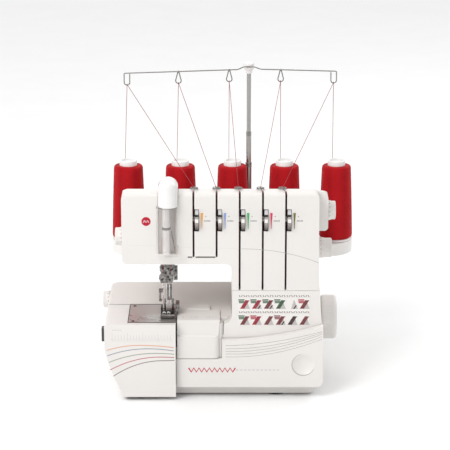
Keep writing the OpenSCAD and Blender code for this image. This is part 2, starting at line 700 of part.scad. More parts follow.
module drive_belt() color([0.1, 0.1, 0.1]) slab_x(belt_x[0] + 1, belt_x[1] - 1) difference() {
    belt_loop(2.4);
    belt_loop(0.35);
}

// ---- side controls ----------------------------------------------------------------------------

// Dial on a stub shaft: base is the wall's outer face, dir points away from the casing
module side_dial(base, dir, y, z, r, depth) translate([base, y, z]) rotate([0, 90 * dir, 0]) {
    translate([0, 0, 0.4]) cylinder(r = r, h = depth - 2.4);
    translate([0, 0, depth - 2]) cylinder(r = r - 1.5, h = 2);
    translate([0, 0, -7]) cylinder(r = 3, h = 8);
}
module stitch_length_dial() color("white") side_dial(pillar_right, 1, -70, 223.8, right_dial_r + 0.5, 22.3);
module differential_dial() color("white") side_dial(block_right, 1, -87, 290.6, right_dial_r - 0.4, 12.5);
module pressure_dial() color("white") side_dial(arm_left, -1, -90, 248.4, left_dial_r, 13);
module cutting_width_dial() color("white") side_dial(bed_left, -1, 12, 110, left_dial_r - 0.5, 11.5);

module power_inlet() color([0.2, 0.2, 0.2]) difference() {
    union() {
        box([131, -112, 32], [pillar_right + 1.5, -70, 66]);
        box([pillar_right + 0.1, -114, 30], [pillar_right + 1.5, -68, 68]);
    }
    box([134, -86.5, 35], [pillar_right + 3, -72.5, 63]);
    difference() {
        box([134, -109, 38], [pillar_right + 3, -91, 60]);
        along_z(138, -100, 37, 61, 1.15);
    }
}

module power_switch() color("black") difference() {
    slab_z(38.6, 59.4) polygon([[136, -108], [144, -108.4], [145.6, -107], [142.6, -100], [144.2, -93.4],
        [143.4, -92.8], [136, -92.8]]);
    along_z(138, -100, 30, 70, 1.2);
}

// ---- spool stand ------------------------------------------------------------------------------

module stand_plan(r) {
    for (x = [-197.5 + stand_r, 208 - stand_r]) translate([x, stand_y]) circle(r = r);
    translate([-197.5 + stand_r, stand_y - r]) square([405.5 - 2 * stand_r, 2 * r]);
}

module spool_stand() color([0.85, 0.83, 0.8]) difference() {
    union() {
        difference() {
            slab_z(stand_z, stand_top) stand_plan(stand_r);
            slab_z(stand_z - eps, stand_top - wall) stand_plan(stand_r - wall);
        }
        // moulded bracket that hangs the stand on the back of the machine
        box([10, body_back + 0.1, 120], [130, body_back + 6, stand_top]);
        box([10, body_back + 0.1, stand_top - wall], [130, stand_y - stand_r + 2, stand_top]);
        for (x = [14, 68, 122]) slab_x(x, x + 4) polygon([[body_back + 1, 130], [stand_y, stand_top - wall],
            [body_back + 1, stand_top - wall]]);
        along_z(pole_x, pole_y, stand_z, stand_top - 1, 9);
    }
    for (i = [0:cones - 1]) along_z(cone_x(i), cone_y, stand_top - 5, stand_top + 1, 3.02);
    along_z(pole_x, pole_y, stand_z + 2, stand_top + 1, 5.22);
}

module spool_seats() color("white") for (i = [0:cones - 1]) difference() {
    along_z(cone_x(i), cone_y, stand_top, stand_top + seat_h, 25);
    along_z(cone_x(i), cone_y, stand_top - 1, stand_top + seat_h + 1, 3.1);
}

module spool_pins() color("silver") for (i = [0:cones - 1])
    along_z(cone_x(i), cone_y, stand_top - 5, winding_z + winding_h - 4, 3);

module cone_cores() color("white") for (i = [0:cones - 1]) translate([cone_x(i), cone_y, winding_z - 0.5])
    difference() {
        union() {
            cylinder(r = 20, h = winding_h + 0.5);
            translate([0, 0, winding_h]) cylinder(r = 14.4, h = 8.5);
        }
        translate([0, 0, -1]) cylinder(r = 3.4, h = winding_h + 12);
    }

module thread_windings() color([0.8, 0.12, 0.16]) for (i = [0:cones - 1])
    translate([cone_x(i), cone_y, winding_z]) rotate_extrude() polygon(concat(
        [[20.05, 0], [cone_r - 3, 0], [cone_r - 0.4, 3.5], [cone_r, 8]],
        [[cone_top_r, winding_h - 4], [cone_top_r - 1.5, winding_h - 1.5], [20.05, winding_h - 0.2]]));

// ---- thread guide -----------------------------------------------------------------------------

module tube(z0, z1, r, bore) difference() {
    along_z(pole_x, pole_y, z0, z1, r);
    along_z(pole_x, pole_y, z0 - 1, z1 + 1, bore);
}
module pole_lower() color("silver") tube(stand_z + 2, 313, 5.2, 4.48);
module pole_middle() color("silver") tube(288, 366, 4.4, 3.68);
module pole_upper() color("silver") along_z(pole_x, pole_y, 338, guide_top - 12, 3.6);

bar_points = [[-174, 110, 0], [14, 113, 5.6], [24, 121.6, 8.4], [41.6, 121.6, 8.4], [52, 113, 6.2],
    [177.5, 110, 3.5]];
function bar_at(i) = bar_points[i] + [0, 0, guide_z];
// Height of the wire over x on the left or right of the cap
function wire_z(x) = let (a = x < pole_x ? bar_at(0) : bar_at(4), b = x < pole_x ? bar_at(1) : bar_at(5))
    a[2] + (b[2] - a[2]) * (x - a[0]) / (b[0] - a[0]);
function wire_y(x) = let (a = x < pole_x ? bar_at(0) : bar_at(4), b = x < pole_x ? bar_at(1) : bar_at(5))
    a[1] + (b[1] - a[1]) * (x - a[0]) / (b[0] - a[0]);
loop_r = 4.6;
hook_drop = 21;
hook_low = [for (x = hook_x) wire_z(x) - hook_drop];

module guide_head() color("white") difference() {
    union() {
        translate([pole_x, pole_y, guide_top - 19]) rotate_extrude() polygon(concat(
            [[0, 0], [5.4, 0], [5.8, 4], [9, 8.5], [9, 15]], arc([6, 15], 3, 10, 80, 4), [[4, 19], [0, 19]]));
    }
    along_z(pole_x, pole_y, guide_top - 20, guide_top - 12, 3.62);
    box([pole_x - 10, pole_y - 10, guide_z + 7.25], [pole_x + 10, pole_y - 8.7, guide_z + 9.55]);
}

// Wire joints are small beads a little thicker than the wire
module bead(p) translate(p) sphere(r = wire_r * 1.12);

module wire_arc(c, a0, a) translate(c) rotate([90, 0, 0]) rotate([0, 0, a0])
    rotate_extrude(angle = a) translate([loop_r, 0]) circle(r = wire_r);

// Narrow U that hangs from the wire's end
module end_hook(x, y, z0, z1) {
    wire_arc([x, y, z0], 180, 180);
    for (s = [-1, 1]) {
        rod([x + s * loop_r, y, z0], [x + s * loop_r, y, z1], wire_r * 0.96);
        bead([x + s * loop_r, y, z0]);
    }
}

// Eye whose two legs close on the wire
module eye_hook(x, y, z0, z1) {
    wire_arc([x, y, z0], 150, 240);
    for (s = [-1, 1]) {
        foot = [x + s * loop_r * cos(30), y, z0 + loop_r * sin(30)];
        rod(foot, [x + s * 0.9, y, z1], wire_r * 0.96);
        bead(foot);
    }
}

module guide_bar() color("silver") {
    for (i = [0:4]) rod(bar_at(i), bar_at(i + 1), wire_r);
    for (i = [0:5]) bead(bar_at(i));
    for (i = [0:4]) {
        x = hook_x[i];
        zc = hook_low[i] + loop_r + wire_r;
        if (i == 0 || i == 4) end_hook(x, wire_y(x), zc, wire_z(x) - 0.3);
        else eye_hook(x, wire_y(x), zc, wire_z(x) - 0.3);
    }
}

// A thread leaves its cone, passes through its hook's loop, then its clip, and enters its slot
function thread_route(i) = let (
    x = hook_x[i], y = wire_y(x), z = hook_low[i] + 2 * wire_r + 0.55, cx = cone_x(i)) [
    [cx + (x < cx ? -6 : 6), cone_y + 15, winding_z + winding_h + 1], [x, y + 2, z], [x, y - 2, z],
    [clip_x(i), clip_y, clip_z - 1.1], [slot_x(i), cover_y + 9, arm_top + 0.6],
    [slot_x(i), cover_y + 9, slot_foot[i] + 4]];

module threads() color([0.8, 0.15, 0.18]) for (i = [0:4]) for (k = [0:4])
    rod(thread_route(i)[k], thread_route(i)[k + 1], thread_r, $fn = 8);

base_tray();
rubber_feet();
chassis_frame();
bed_casing();
front_cover();
lower_front_panel();
rear_casing();
cloth_plate();
cloth_plate_latch();
looper_cover();
cover_hinge_rod();
extension_table();
needle_plate();
stitch_chart();
take_up_cover();
smoked_guard();
slot_liners();
tension_dial_1();
tension_dial_2();
tension_dial_3();
tension_dial_4();
tension_dial_5();
tension_discs();
thread_clips();
spool_stand();
spool_pins();
spool_seats();
cone_cores();
thread_windings();
pole_lower();
pole_middle();
pole_upper();
guide_head();
guide_bar();
handwheel();
main_shaft();
drive_motor();
motor_pulley();
drive_belt();
stitch_length_dial();
differential_dial();
pressure_dial();
cutting_width_dial();
power_switch();
power_inlet();
needle_bar();
needle_clamp();
needles();
clamp_screws();
presser_bar();
presser_foot();
presser_lever();
upper_knife();
lower_knife();
upper_looper();
lower_looper();
chain_looper();
feed_dogs();
casing_screws();
threads();
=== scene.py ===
"""Looks of a five-thread serger overlock machine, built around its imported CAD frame. Metres, +Z up."""
import json
from functools import cache, partial
from math import cos, pi, radians, sin

import bmesh
import bpy
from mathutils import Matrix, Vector

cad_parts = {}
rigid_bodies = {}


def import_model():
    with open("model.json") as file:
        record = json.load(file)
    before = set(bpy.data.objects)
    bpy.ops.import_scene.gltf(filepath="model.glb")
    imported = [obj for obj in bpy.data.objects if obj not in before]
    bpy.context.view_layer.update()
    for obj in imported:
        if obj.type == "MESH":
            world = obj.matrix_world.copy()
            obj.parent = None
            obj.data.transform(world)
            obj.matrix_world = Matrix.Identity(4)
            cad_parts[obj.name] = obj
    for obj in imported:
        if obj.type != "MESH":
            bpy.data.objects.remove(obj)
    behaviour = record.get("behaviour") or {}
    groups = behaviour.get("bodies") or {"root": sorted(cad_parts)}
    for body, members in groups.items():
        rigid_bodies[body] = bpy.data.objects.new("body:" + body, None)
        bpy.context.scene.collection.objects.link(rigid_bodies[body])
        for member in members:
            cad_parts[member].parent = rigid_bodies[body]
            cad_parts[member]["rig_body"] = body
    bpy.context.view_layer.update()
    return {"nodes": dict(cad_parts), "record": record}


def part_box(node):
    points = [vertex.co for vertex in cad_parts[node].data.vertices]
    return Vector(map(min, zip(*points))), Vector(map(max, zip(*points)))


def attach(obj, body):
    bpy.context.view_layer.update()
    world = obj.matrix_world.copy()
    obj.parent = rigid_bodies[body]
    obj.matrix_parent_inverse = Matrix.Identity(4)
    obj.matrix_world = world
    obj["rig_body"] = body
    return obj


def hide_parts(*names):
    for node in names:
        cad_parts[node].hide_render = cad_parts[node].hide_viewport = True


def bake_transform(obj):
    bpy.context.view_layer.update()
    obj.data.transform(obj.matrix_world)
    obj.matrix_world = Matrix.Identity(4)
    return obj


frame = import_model()
MM = 0.001


def placed(name, data):
    """New object in the scene"""
    made = bpy.data.objects.new(name, data)
    bpy.context.scene.collection.objects.link(made)
    return made


# ---- camera, light and floor ----

CAMERA_TARGET = Vector((-0.007, 0, 0.241))
CAMERA_DISTANCE = 3.259
CAMERA_PITCH = radians(16)


def add_camera():
    data = bpy.data.cameras.new("camera")
    data.lens = 160
    data.sensor_width = 36
    data.clip_end = 50
    camera = placed("camera", data)
    away = Vector((0, -cos(CAMERA_PITCH), sin(CAMERA_PITCH)))
    camera.location = CAMERA_TARGET + CAMERA_DISTANCE * away
    camera.rotation_euler = (pi / 2 - CAMERA_PITCH, 0, 0)
    bpy.context.scene.camera = camera


def add_light(name, place, target, width, height, power):
    data = bpy.data.lights.new(name, "AREA")
    data.shape = "RECTANGLE"
    data.size, data.size_y = width, height
    data.energy = power
    lamp = placed(name, data)
    lamp.location = place
    lamp.rotation_euler = (Vector(target) - Vector(place)).to_track_quat("-Z", "Y").to_euler()


# Strength of the surrounding light: behind and above, in front, and at both sides
FULL_LEVEL, FRONT_LEVEL, SIDE_LEVEL = 1.04, 0.42, 0.34


def light_world(world):
    """White studio, dimmer in front and at both sides at eye height, so that round forms keep their depth"""
    nodes = Nodes(world.node_tree)
    around = nodes.add("ShaderNodeTexCoord").outputs["Generated"]
    x, y, z = nodes.add("ShaderNodeSeparateXYZ", {0: around}).outputs
    front = nodes.ramp(y, -0.75, 0.1, FRONT_LEVEL, FULL_LEVEL)
    sides = nodes.ramp(nodes.math("ABSOLUTE", x), 0.55, 0.95, FULL_LEVEL, SIDE_LEVEL)
    above = nodes.ramp(z, 0.3, 0.8, 0, FULL_LEVEL)
    level = nodes.math("MAXIMUM", nodes.math("MINIMUM", front, sides), above)
    background = world.node_tree.nodes["Background"]
    nodes.set(background.inputs["Color"], (1, 1, 1))
    nodes.set(background.inputs["Strength"], level)


def add_studio():
    scene = bpy.context.scene
    scene.view_settings.view_transform = "Standard"
    world = bpy.data.worlds.new("studio")
    world.use_nodes = True
    light_world(world)
    scene.world = world
    add_light("key", (-1.5, -1.9, 2.4), (0, 0, 0.15), 1.4, 1.4, 46)
    add_light("rim", (1.6, 1.5, 1.9), (0, 0, 0.2), 1.2, 1.2, 12)
    half = 12
    mesh = bpy.data.meshes.new("floor")
    mesh.from_pydata([(-half, -half, 0), (half, -half, 0), (half, half, 0), (-half, half, 0)], [],
                     [(0, 1, 2, 3)])
    floor = placed("floor", mesh)
    mesh.materials.append(shaded("floor_paper", (0.96, 0.96, 0.96), 0.9, grain=0))


# ---- materials ----

class Nodes:
    """Short way to write the nodes of a material or a world"""

    def __init__(self, tree):
        self.tree = tree

    def add(self, kind, inputs=None, **settings):
        new = self.tree.nodes.new(kind)
        for key, value in settings.items():
            setattr(new, key, value)
        for key, value in (inputs or {}).items():
            self.set(new.inputs[key], value)
        return new

    def set(self, socket, value):
        if isinstance(value, bpy.types.NodeSocket):
            self.tree.links.new(value, socket)
        elif isinstance(value, tuple) and len(value) == 3 and len(socket.default_value) == 4:
            socket.default_value = (*value, 1)
        else:
            socket.default_value = value

    def math(self, operation, a, b=0.0):
        return self.add("ShaderNodeMath", {0: a, 1: b}, operation=operation).outputs[0]

    def mix(self, factor, a, b):
        sockets = {"Factor": factor, "A": a, "B": b}
        return self.add("ShaderNodeMix", sockets, data_type="RGBA").outputs["Result"]

    def ramp(self, value, low, high, to_low=0.0, to_high=1.0):
        return self.add("ShaderNodeMapRange", {"Value": value, "From Min": low, "From Max": high,
                                               "To Min": to_low, "To Max": to_high}).outputs["Result"]


class Tree(Nodes):
    """A new material and its nodes, in object coordinates"""

    def __init__(self, name):
        self.material = bpy.data.materials.new(name)
        self.material.use_nodes = True
        super().__init__(self.material.node_tree)
        self.shader = self.tree.nodes["Principled BSDF"]
        self.coords = self.add("ShaderNodeTexCoord").outputs["Object"]

    def put(self, **values):
        """Sets the shader's sockets by name, with _ for a space"""
        for key, value in values.items():
            self.set(self.shader.inputs[key.replace("_", " ")], value)

    def noise(self, scale, detail=2.0, coords=None):
        return self.add("ShaderNodeTexNoise", {"Vector": coords or self.coords, "Scale": scale,
                                               "Detail": detail}).outputs["Fac"]

    def bump(self, height, distance, strength):
        new = self.add("ShaderNodeBump", {"Height": height, "Distance": distance, "Strength": strength})
        self.set(self.shader.inputs["Normal"], new.outputs["Normal"])

    def axes(self):
        return self.add("ShaderNodeSeparateXYZ", {0: self.coords}).outputs[:]


def tint(colour, factor):
    return tuple(min(1, c * factor) for c in colour)


# A name that is already there, also one of the frame's own materials, is used as it is
def shaded(name, colour, roughness, metallic=0.0, grain=0.00004, scale=1400, spread=0.025, **more):
    """Moulded or cast finish: faint cloudy colour, uneven gloss and a fine grain"""
    if name in bpy.data.materials:
        return bpy.data.materials[name]
    tree = Tree(name)
    cloud = tree.noise(9, 3)
    tree.put(Base_Color=tree.mix(cloud, tint(colour, 1 - spread), tint(colour, 1 + spread)),
             Roughness=tree.ramp(tree.noise(60, 3), 0.3, 0.7, roughness - 0.04, roughness + 0.04),
             Metallic=metallic, **more)
    if grain:
        tree.bump(tree.noise(scale, 1), grain, 0.5)
    return tree.material


def brushed(name, colour, roughness, along=(8, 8, 1), depth=0.00001):
    """Metal with a brushed or ground lay: noise stretched along one axis"""
    if name in bpy.data.materials:
        return bpy.data.materials[name]
    tree = Tree(name)
    stretched = tree.add("ShaderNodeMapping", {"Vector": tree.coords, "Scale": along}).outputs[0]
    lines = tree.noise(90, 4, stretched)
    tree.put(Base_Color=tree.mix(lines, tint(colour, 0.86), tint(colour, 1.08)),
             Roughness=tree.ramp(lines, 0.2, 0.8, roughness - 0.07, roughness + 0.1), Metallic=1.0)
    tree.bump(lines, depth, 0.6)
    return tree.material


# Finishes that several pieces share
white_plastic = partial(shaded, "moulded_white", (0.81, 0.78, 0.752), 0.36, Specular_IOR_Level=0.45)
cap_plastic = partial(shaded, "gloss_white", (0.87, 0.855, 0.84), 0.22, grain=0.00002, Coat_Weight=0.4)
beige_plastic = partial(shaded, "wheel_beige", (0.68, 0.64, 0.61), 0.4)
black_plastic = partial(shaded, "black_plastic", (0.018, 0.018, 0.02), 0.38, spread=0.2)
thread_finish = partial(shaded, "thread_line", (0.27, 0.022, 0.028), 0.6, 0, 0.00003, 3000, 0.2)
grey_ink = partial(shaded, "print_grey", (0.30, 0.29, 0.30), 0.6)
dial_ink = partial(shaded, "dial_ink", (0.07, 0.065, 0.075), 0.5)
groove_shadow = partial(shaded, "groove_shadow", (0.46, 0.44, 0.425), 0.6)
chrome = partial(brushed, "bright_chrome", (0.72, 0.71, 0.70), 0.16)
chrome_dark = partial(brushed, "dark_chrome", (0.40, 0.39, 0.375), 0.2)
wire_steel = partial(brushed, "spring_wire", (0.30, 0.29, 0.28), 0.28)
steel = partial(brushed, "plate_steel", (0.43, 0.41, 0.395), 0.5, (1, 30, 30), 0.00003)
ground_steel = partial(shaded, "ground_steel", (0.86, 0.84, 0.82), 0.42, 0.35, scale=2600, spread=0.08)
alloy = partial(shaded, "cast_alloy", (0.5, 0.5, 0.5), 0.5, 0.9, 0.0002, 500, 0.08)
dark_metal = partial(shaded, "blackened_screw", (0.05, 0.05, 0.052), 0.32, 0.8, spread=0.15)


# ---- building blocks, in millimetres ----

def corners(node):
    """Lowest and highest corner of a CAD node in millimetres"""
    lo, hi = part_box(node)
    return lo / MM, hi / MM


def piece(name, verts, faces, finish, body="machine", crease=38, slot="body_white"):
    """Mesh object from points in millimetres, riding on a body unless that is None"""
    mesh = bpy.data.meshes.new(name)
    mesh.from_pydata([tuple(c * MM for c in v) for v in verts], [], faces)
    made = placed(name, mesh)
    mesh.materials.append(finish)
    tidy_mesh(mesh, crease)
    if body:
        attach(made, body)
    return made


def tidy_mesh(mesh, crease):
    """Faces outwards, smooth up to the crease angle in degrees"""
    bm = bmesh.new()
    bm.from_mesh(mesh)
    bmesh.ops.recalc_face_normals(bm, faces=bm.faces)
    bm.to_mesh(mesh)
    bm.free()
    mesh.shade_smooth()
    mesh.set_sharp_from_angle(angle=radians(crease))


def moulded(node, finish, radius):
    """Stands for a CAD shell: the same shape with its sharp edges rounded, as a moulding's are"""
    source = frame["nodes"][node]
    bm = bmesh.new()
    bm.from_mesh(source.data)
    bmesh.ops.remove_doubles(bm, verts=bm.verts, dist=2e-6)
    bmesh.ops.dissolve_limit(bm, angle_limit=radians(0.4), verts=bm.verts, edges=bm.edges)
    sharp = [e for e in bm.edges if e.is_manifold and e.calc_face_angle() > radians(30)]
    bmesh.ops.bevel(bm, geom=sharp, offset=radius * MM, segments=3, profile=0.5, affect="EDGES",
                    clamp_overlap=True)
    mesh = bpy.data.meshes.new(node + "_moulding")
    bm.to_mesh(mesh)
    bm.free()
    made = placed(node + "_moulding", mesh)
    mesh.materials.append(finish)
    mesh.shade_smooth()
    mesh.set_sharp_from_angle(angle=radians(50))
    normals = made.modifiers.new("even_faces", "WEIGHTED_NORMAL")
    normals.keep_sharp = True
    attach(made, source["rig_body"])
    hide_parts(node)
    return made


def smooth_path(points, steps=8):
    """Catmull-Rom curve through the points"""
    pts = [Vector(p) for p in points]
    pts = [2 * pts[0] - pts[1], *pts, 2 * pts[-1] - pts[-2]]
    path = []
    for a, b, c, d in zip(pts, pts[1:], pts[2:], pts[3:]):
        for k in range(steps):
            t = k / steps
            path.append(0.5 * (2 * b + (c - a) * t + (2 * a - 5 * b + 4 * c - d) * t * t
                               + (3 * b - 3 * c + d - a) * t ** 3))
    return path + [pts[-2]]


def tube_mesh(path, radius, sides=10):
    """Points and faces of a closed round tube along a path"""
    path = [Vector(p) for p in path]
    verts, faces = [], []
    side = None
    for behind, point, ahead in zip([path[0], *path], path, [*path[1:], path[-1]]):
        along = (ahead - behind).normalized()
        if side is None:
            side = along.orthogonal().normalized()
        side = (side - along * side.dot(along)).normalized()
        other = along.cross(side)
        turns = [2 * pi * j / sides for j in range(sides)]
        verts += [point + radius * (cos(a) * side + sin(a) * other) for a in turns]
    for k in range(len(path) - 1):
        a, b = k * sides, (k + 1) * sides
        faces += [(a + j, a + (j + 1) % sides, b + (j + 1) % sides, b + j) for j in range(sides)]
    last = (len(path) - 1) * sides
    faces += [tuple(range(sides))[::-1], tuple(range(last, last + sides))]
    return verts, faces


def merged(parts):
    """Joins several (points, faces) into one"""
    verts, faces = [], []
    for part_verts, part_faces in parts:
        base = len(verts)
        verts += part_verts
        faces += [tuple(base + i for i in face) for face in part_faces]
    return verts, faces


def tubes(name, paths, radius, finish, body="machine", sides=10, slot="body_white"):
    return piece(name, *merged([tube_mesh(p, radius, sides) for p in paths]), finish, body, 60, slot)


def turned(profile, steps=64, axis=(0, 0, 1), place=(0, 0, 0), ripple=None):
    """Points and faces turned about an axis. profile holds (radius, height), and a radius of 0 closes it"""
    axis, place = Vector(axis), Vector(place)
    u = axis.orthogonal().normalized() if abs(axis.z) < 0.9 else Vector((1, 0, 0))
    v = axis.cross(u)
    verts, faces, rows = [], [], []
    for radius, height in profile:
        if radius < 1e-6:
            rows.append([len(verts)] * steps)
            verts.append(place + axis * height)
            continue
        rows.append([len(verts) + j for j in range(steps)])
        for j in range(steps):
            angle = 2 * pi * j / steps
            r = radius + (ripple(angle, height, radius) if ripple else 0)
            verts.append(place + axis * height + r * (cos(angle) * u + sin(angle) * v))
    for low, high in zip(rows, rows[1:]):
        for j in range(steps):
            ahead = (j + 1) % steps
            face = tuple(dict.fromkeys((low[j], low[ahead], high[ahead], high[j])))
            if len(face) > 2:
                faces.append(face)
    return verts, faces


def plate_mesh(outline, place, thick):
    """Closed plate whose outline (u, v) lies on a surface. place(u, v, d) is the point d above it"""
    count = len(outline)
    verts = [place(u, v, 0) for u, v in outline] + [place(u, v, thick) for u, v in outline]
    faces = [(j, (j + 1) % count, count + (j + 1) % count, count + j) for j in range(count)]
    return verts, [tuple(range(count))[::-1], tuple(range(count, 2 * count)), *faces]


def plates(name, outlines, place, finish, body="machine", thick=0.08, slot="body_white"):
    return piece(name, *merged([plate_mesh(o, place, thick) for o in outlines]), finish, body, 20, slot)


def on_front(y):
    return lambda u, v, d: (u, y - d, v)


def on_back(y):
    return lambda u, v, d: (u, y + d, v)


def on_right(x):
    return lambda u, v, d: (x + d, u, v)


def on_top(z):
    return lambda u, v, d: (u, v, z + d)


def stroke(points, width):
    """Outline of a line of even width through (u, v) points"""
    pts = [Vector((*p, 0)) for p in points]
    left, right = [], []
    for k, p in enumerate(pts):
        along = (pts[min(k + 1, len(pts) - 1)] - pts[max(k - 1, 0)]).normalized()
        across = Vector((-along.y, along.x, 0)) * width / 2
        left.append(tuple((p + across)[:2]))
        right.append(tuple((p - across)[:2]))
    return left + right[::-1]


def bar(u, v, width, height, lean=0.0):
    """Upright parallelogram centred on (u, v)"""
    return [(u - width / 2 - lean, v - height / 2), (u + width / 2 - lean, v - height / 2),
            (u + width / 2 + lean, v + height / 2), (u - width / 2 + lean, v + height / 2)]


def disc(u, v, radius, steps=40):
    return arc_points(u, v, radius, [360 * k / steps for k in range(steps)])


def arc_points(u, v, radius, degrees):
    """Points round (u, v) at the given angles"""
    return [(u + radius * cos(radians(a)), v + radius * sin(radians(a))) for a in degrees]


def middle_of(node):
    """Middle of a CAD node in y and z"""
    lo, hi = corners(node)
    return (lo.y + hi.y) / 2, (lo.z + hi.z) / 2


# ---- casings ----

# White casings and how far their edges are rounded
CASINGS = (("front_cover", 1.0), ("rear_casing", 1.0), ("lower_front_panel", 1.2), ("cloth_plate", 0.9),
           ("looper_cover", 1.3), ("extension_table", 1.2), ("base_tray", 1.0))


def add_casings():
    for node, radius in CASINGS:
        moulded(node, white_plastic(), radius)
    moulded("take_up_cover", cap_plastic(), 0.6)
    moulded("bed_casing", shaded("bed_white", (0.80, 0.765, 0.735), 0.42), 1.0)
    moulded("spool_stand", shaded("stand_grey", (0.60, 0.575, 0.55), 0.45), 1.2)
    moulded("spool_seats", cap_plastic(), 1.0)
    moulded("needle_plate", steel(), 0.4)
    rubber = shaded("foot_rubber", (0.03, 0.03, 0.03), 0.75, grain=0.0001, scale=700, spread=0.25)
    moulded("rubber_feet", rubber, 0.8)


def add_front_lines():
    """Fine grooves where the front cover's surfaces change, drawn as narrow shadow lines"""
    lo, hi = corners("front_cover")
    face = on_front(lo.y)
    left, right, high, fall = 16, hi.x - 1.2, 244.5, 23
    sweep = [(left + (right - left) * t, high - fall * t ** 2.2) for t in (k / 16 for k in range(17))]
    plates("cover_groove", [stroke(sweep, 0.7)], face, groove_shadow())
    belly = [[(lo.x + 10, 250), (-114.5, 250)], [(-78, 247), (-58.5, 246.6)],
             [(-53.5, 246.5), (-22.5, 245.6)], [(-17.5, 245.5), (13.4, 244.6)]]
    pale = shaded("groove_pale", (0.76, 0.74, 0.72), 0.55)
    plates("cover_crease", [stroke(line, 0.8) for line in belly], face, pale)


# ---- prints ----

MARKER_COLOURS = {"orange": (0.86, 0.36, 0.04), "blue": (0.27, 0.36, 0.70), "green": (0.04, 0.45, 0.13),
                  "red": (0.75, 0.02, 0.09), "olive": (0.17, 0.16, 0.03)}


def add_markers():
    """A tapered colour mark and a small scale beside each tension dial"""
    face = on_front(corners("front_cover")[0].y)
    scales = []
    for i, (name, colour) in enumerate(MARKER_COLOURS.items()):
        node = f"tension_dial_{i + 1}"
        middle = middle_of(node)[1]
        u = corners(node)[0].x + 10.8
        taper = [(u - 2.0, middle + 12), (u + 2.0, middle + 12), (u + 0.9, middle - 1),
                 (u + 0.4, middle - 14), (u - 0.4, middle - 14), (u - 0.9, middle - 1)]
        plates(f"marker_{name}", [taper], face, shaded(f"print_{name}", colour, 0.5), slot="dial_wheel")
        scales += [bar(u + 4.2 + 2.0 * k, middle - 0.8, 1.2, 2.4) for k in range(5)]
        scales.append(disc(u + 6, middle + 6.5, 0.9, 12))
    plates("dial_scales", scales, face, grey_ink(), slot="dial_wheel")


def add_emblem():
    """Plain needle-and-stitch motifs where the machine carries its marks"""
    red = shaded("print_crimson", (0.50, 0.012, 0.04), 0.5, Specular_IOR_Level=0.2)
    pale = shaded("print_pale", (0.55, 0.54, 0.535), 0.5)
    face = on_front(corners("front_cover")[0].y)
    u, v, radius = -129.6, 288.8, 7.2
    plates("head_emblem", [disc(u, v, radius)], face, red, slot="red_thread")
    stitch = [(u - 4.4 + 2.2 * k, v + (1.7 if k % 2 else -1.7)) for k in range(5)]
    plates("head_stitch", [stroke(stitch, 1.2)], face, white_plastic(), thick=0.16)
    cover = on_front(corners("looper_cover")[0].y)
    low, high, pitch = 44.6, 51.4, 8.2
    zigzag = [(-64.5 + pitch * k / 2, low if k % 2 else high) for k in range(19)]
    plates("cover_stitch_motif", [stroke(zigzag, 2.3)], cover, red, "looper_cover", slot="red_thread")
    dashes = [bar(12 + 6.5 * k, (low + high) / 2, 4.2, 1.2) for k in range(11)]
    plates("cover_dash_motif", dashes, cover, pale, "looper_cover")


# Start, apex and end of each line on the cloth plate, and its colour
CLOTH_LINES = (((-193, 83.8), (-139.5, 92.4), (-87.4, 88.6), (0.72, 0.36, 0.22)),
               ((-192, 74.8), (-128, 86.6), (-87.4, 83.1), (0.30, 0.31, 0.36)),
               ((-190, 63.8), (-115, 79.0), (-86.9, 77.6), (0.33, 0.36, 0.28)),
               ((-188, 51.2), (-108, 72.8), (-86.9, 72.1), (0.52, 0.15, 0.17)),
               ((-183, 40.9), (-104, 66.8), (-86.5, 67.3), (0.25, 0.21, 0.20)))


def add_cloth_plate_print():
    """Five curved thread lines and a faint measuring scale on the cloth plate"""
    face = on_front(corners("cloth_plate")[0].y)
    for i, (start, apex, end, colour) in enumerate(CLOTH_LINES):
        ink = shaded(f"print_line_{i + 1}", colour, 0.5)
        path = arc_through(start, apex, end)
        plates(f"plate_line_{i + 1}", [stroke(path, 1.3)], face, ink, "cloth_plate")
    faint = shaded("print_faint", (0.66, 0.62, 0.61), 0.55)
    left, rule = -184, 102.6
    ticks = [bar(left + 4.8 * k, rule + 3.6, 0.7, 6 if k % 5 else 12) for k in range(20)]
    ticks += [bar(left + 2.4 * k, rule - 3, 0.7, 2.0) for k in range(40)]
    ticks += [bar(left + 1.5 + 3.1 * k, rule + 14.9, 1.9, 1.7) for k in range(5)]
    ticks.append(stroke([(left - 2, rule), (-90, rule)], 0.5))
    plates("plate_scale", ticks, face, faint, "cloth_plate")


def arc_through(start, apex, end):
    """Arch from start to end that peaks at apex: about a quarter of an ellipse on each side"""
    (a, b), (c, d), (e, f) = start, apex, end
    steps = [k / 20 for k in range(21)]
    left = [(a + (c - a) * t, b + (d - b) * (1 - (1 - t) ** 2.1)) for t in steps[:-1]]
    return left + [(c + (e - c) * t, d + (f - d) * t ** 1.8) for t in steps]


def add_table_print():
    """Small ruler on the extension table"""
    top = on_top(corners("extension_table")[1].z - 2)
    ticks = (0, 5, 6, 7, 8, 9, 14, 15, 16, 17, 18)
    marks = [bar(-73 + 2.6 * k, -134, 1.0, 1.6 if k % 4 else 2.8) for k in ticks]
    plates("table_ruler", marks, top, grey_ink(), "table")
    add_needle_plate_marks()


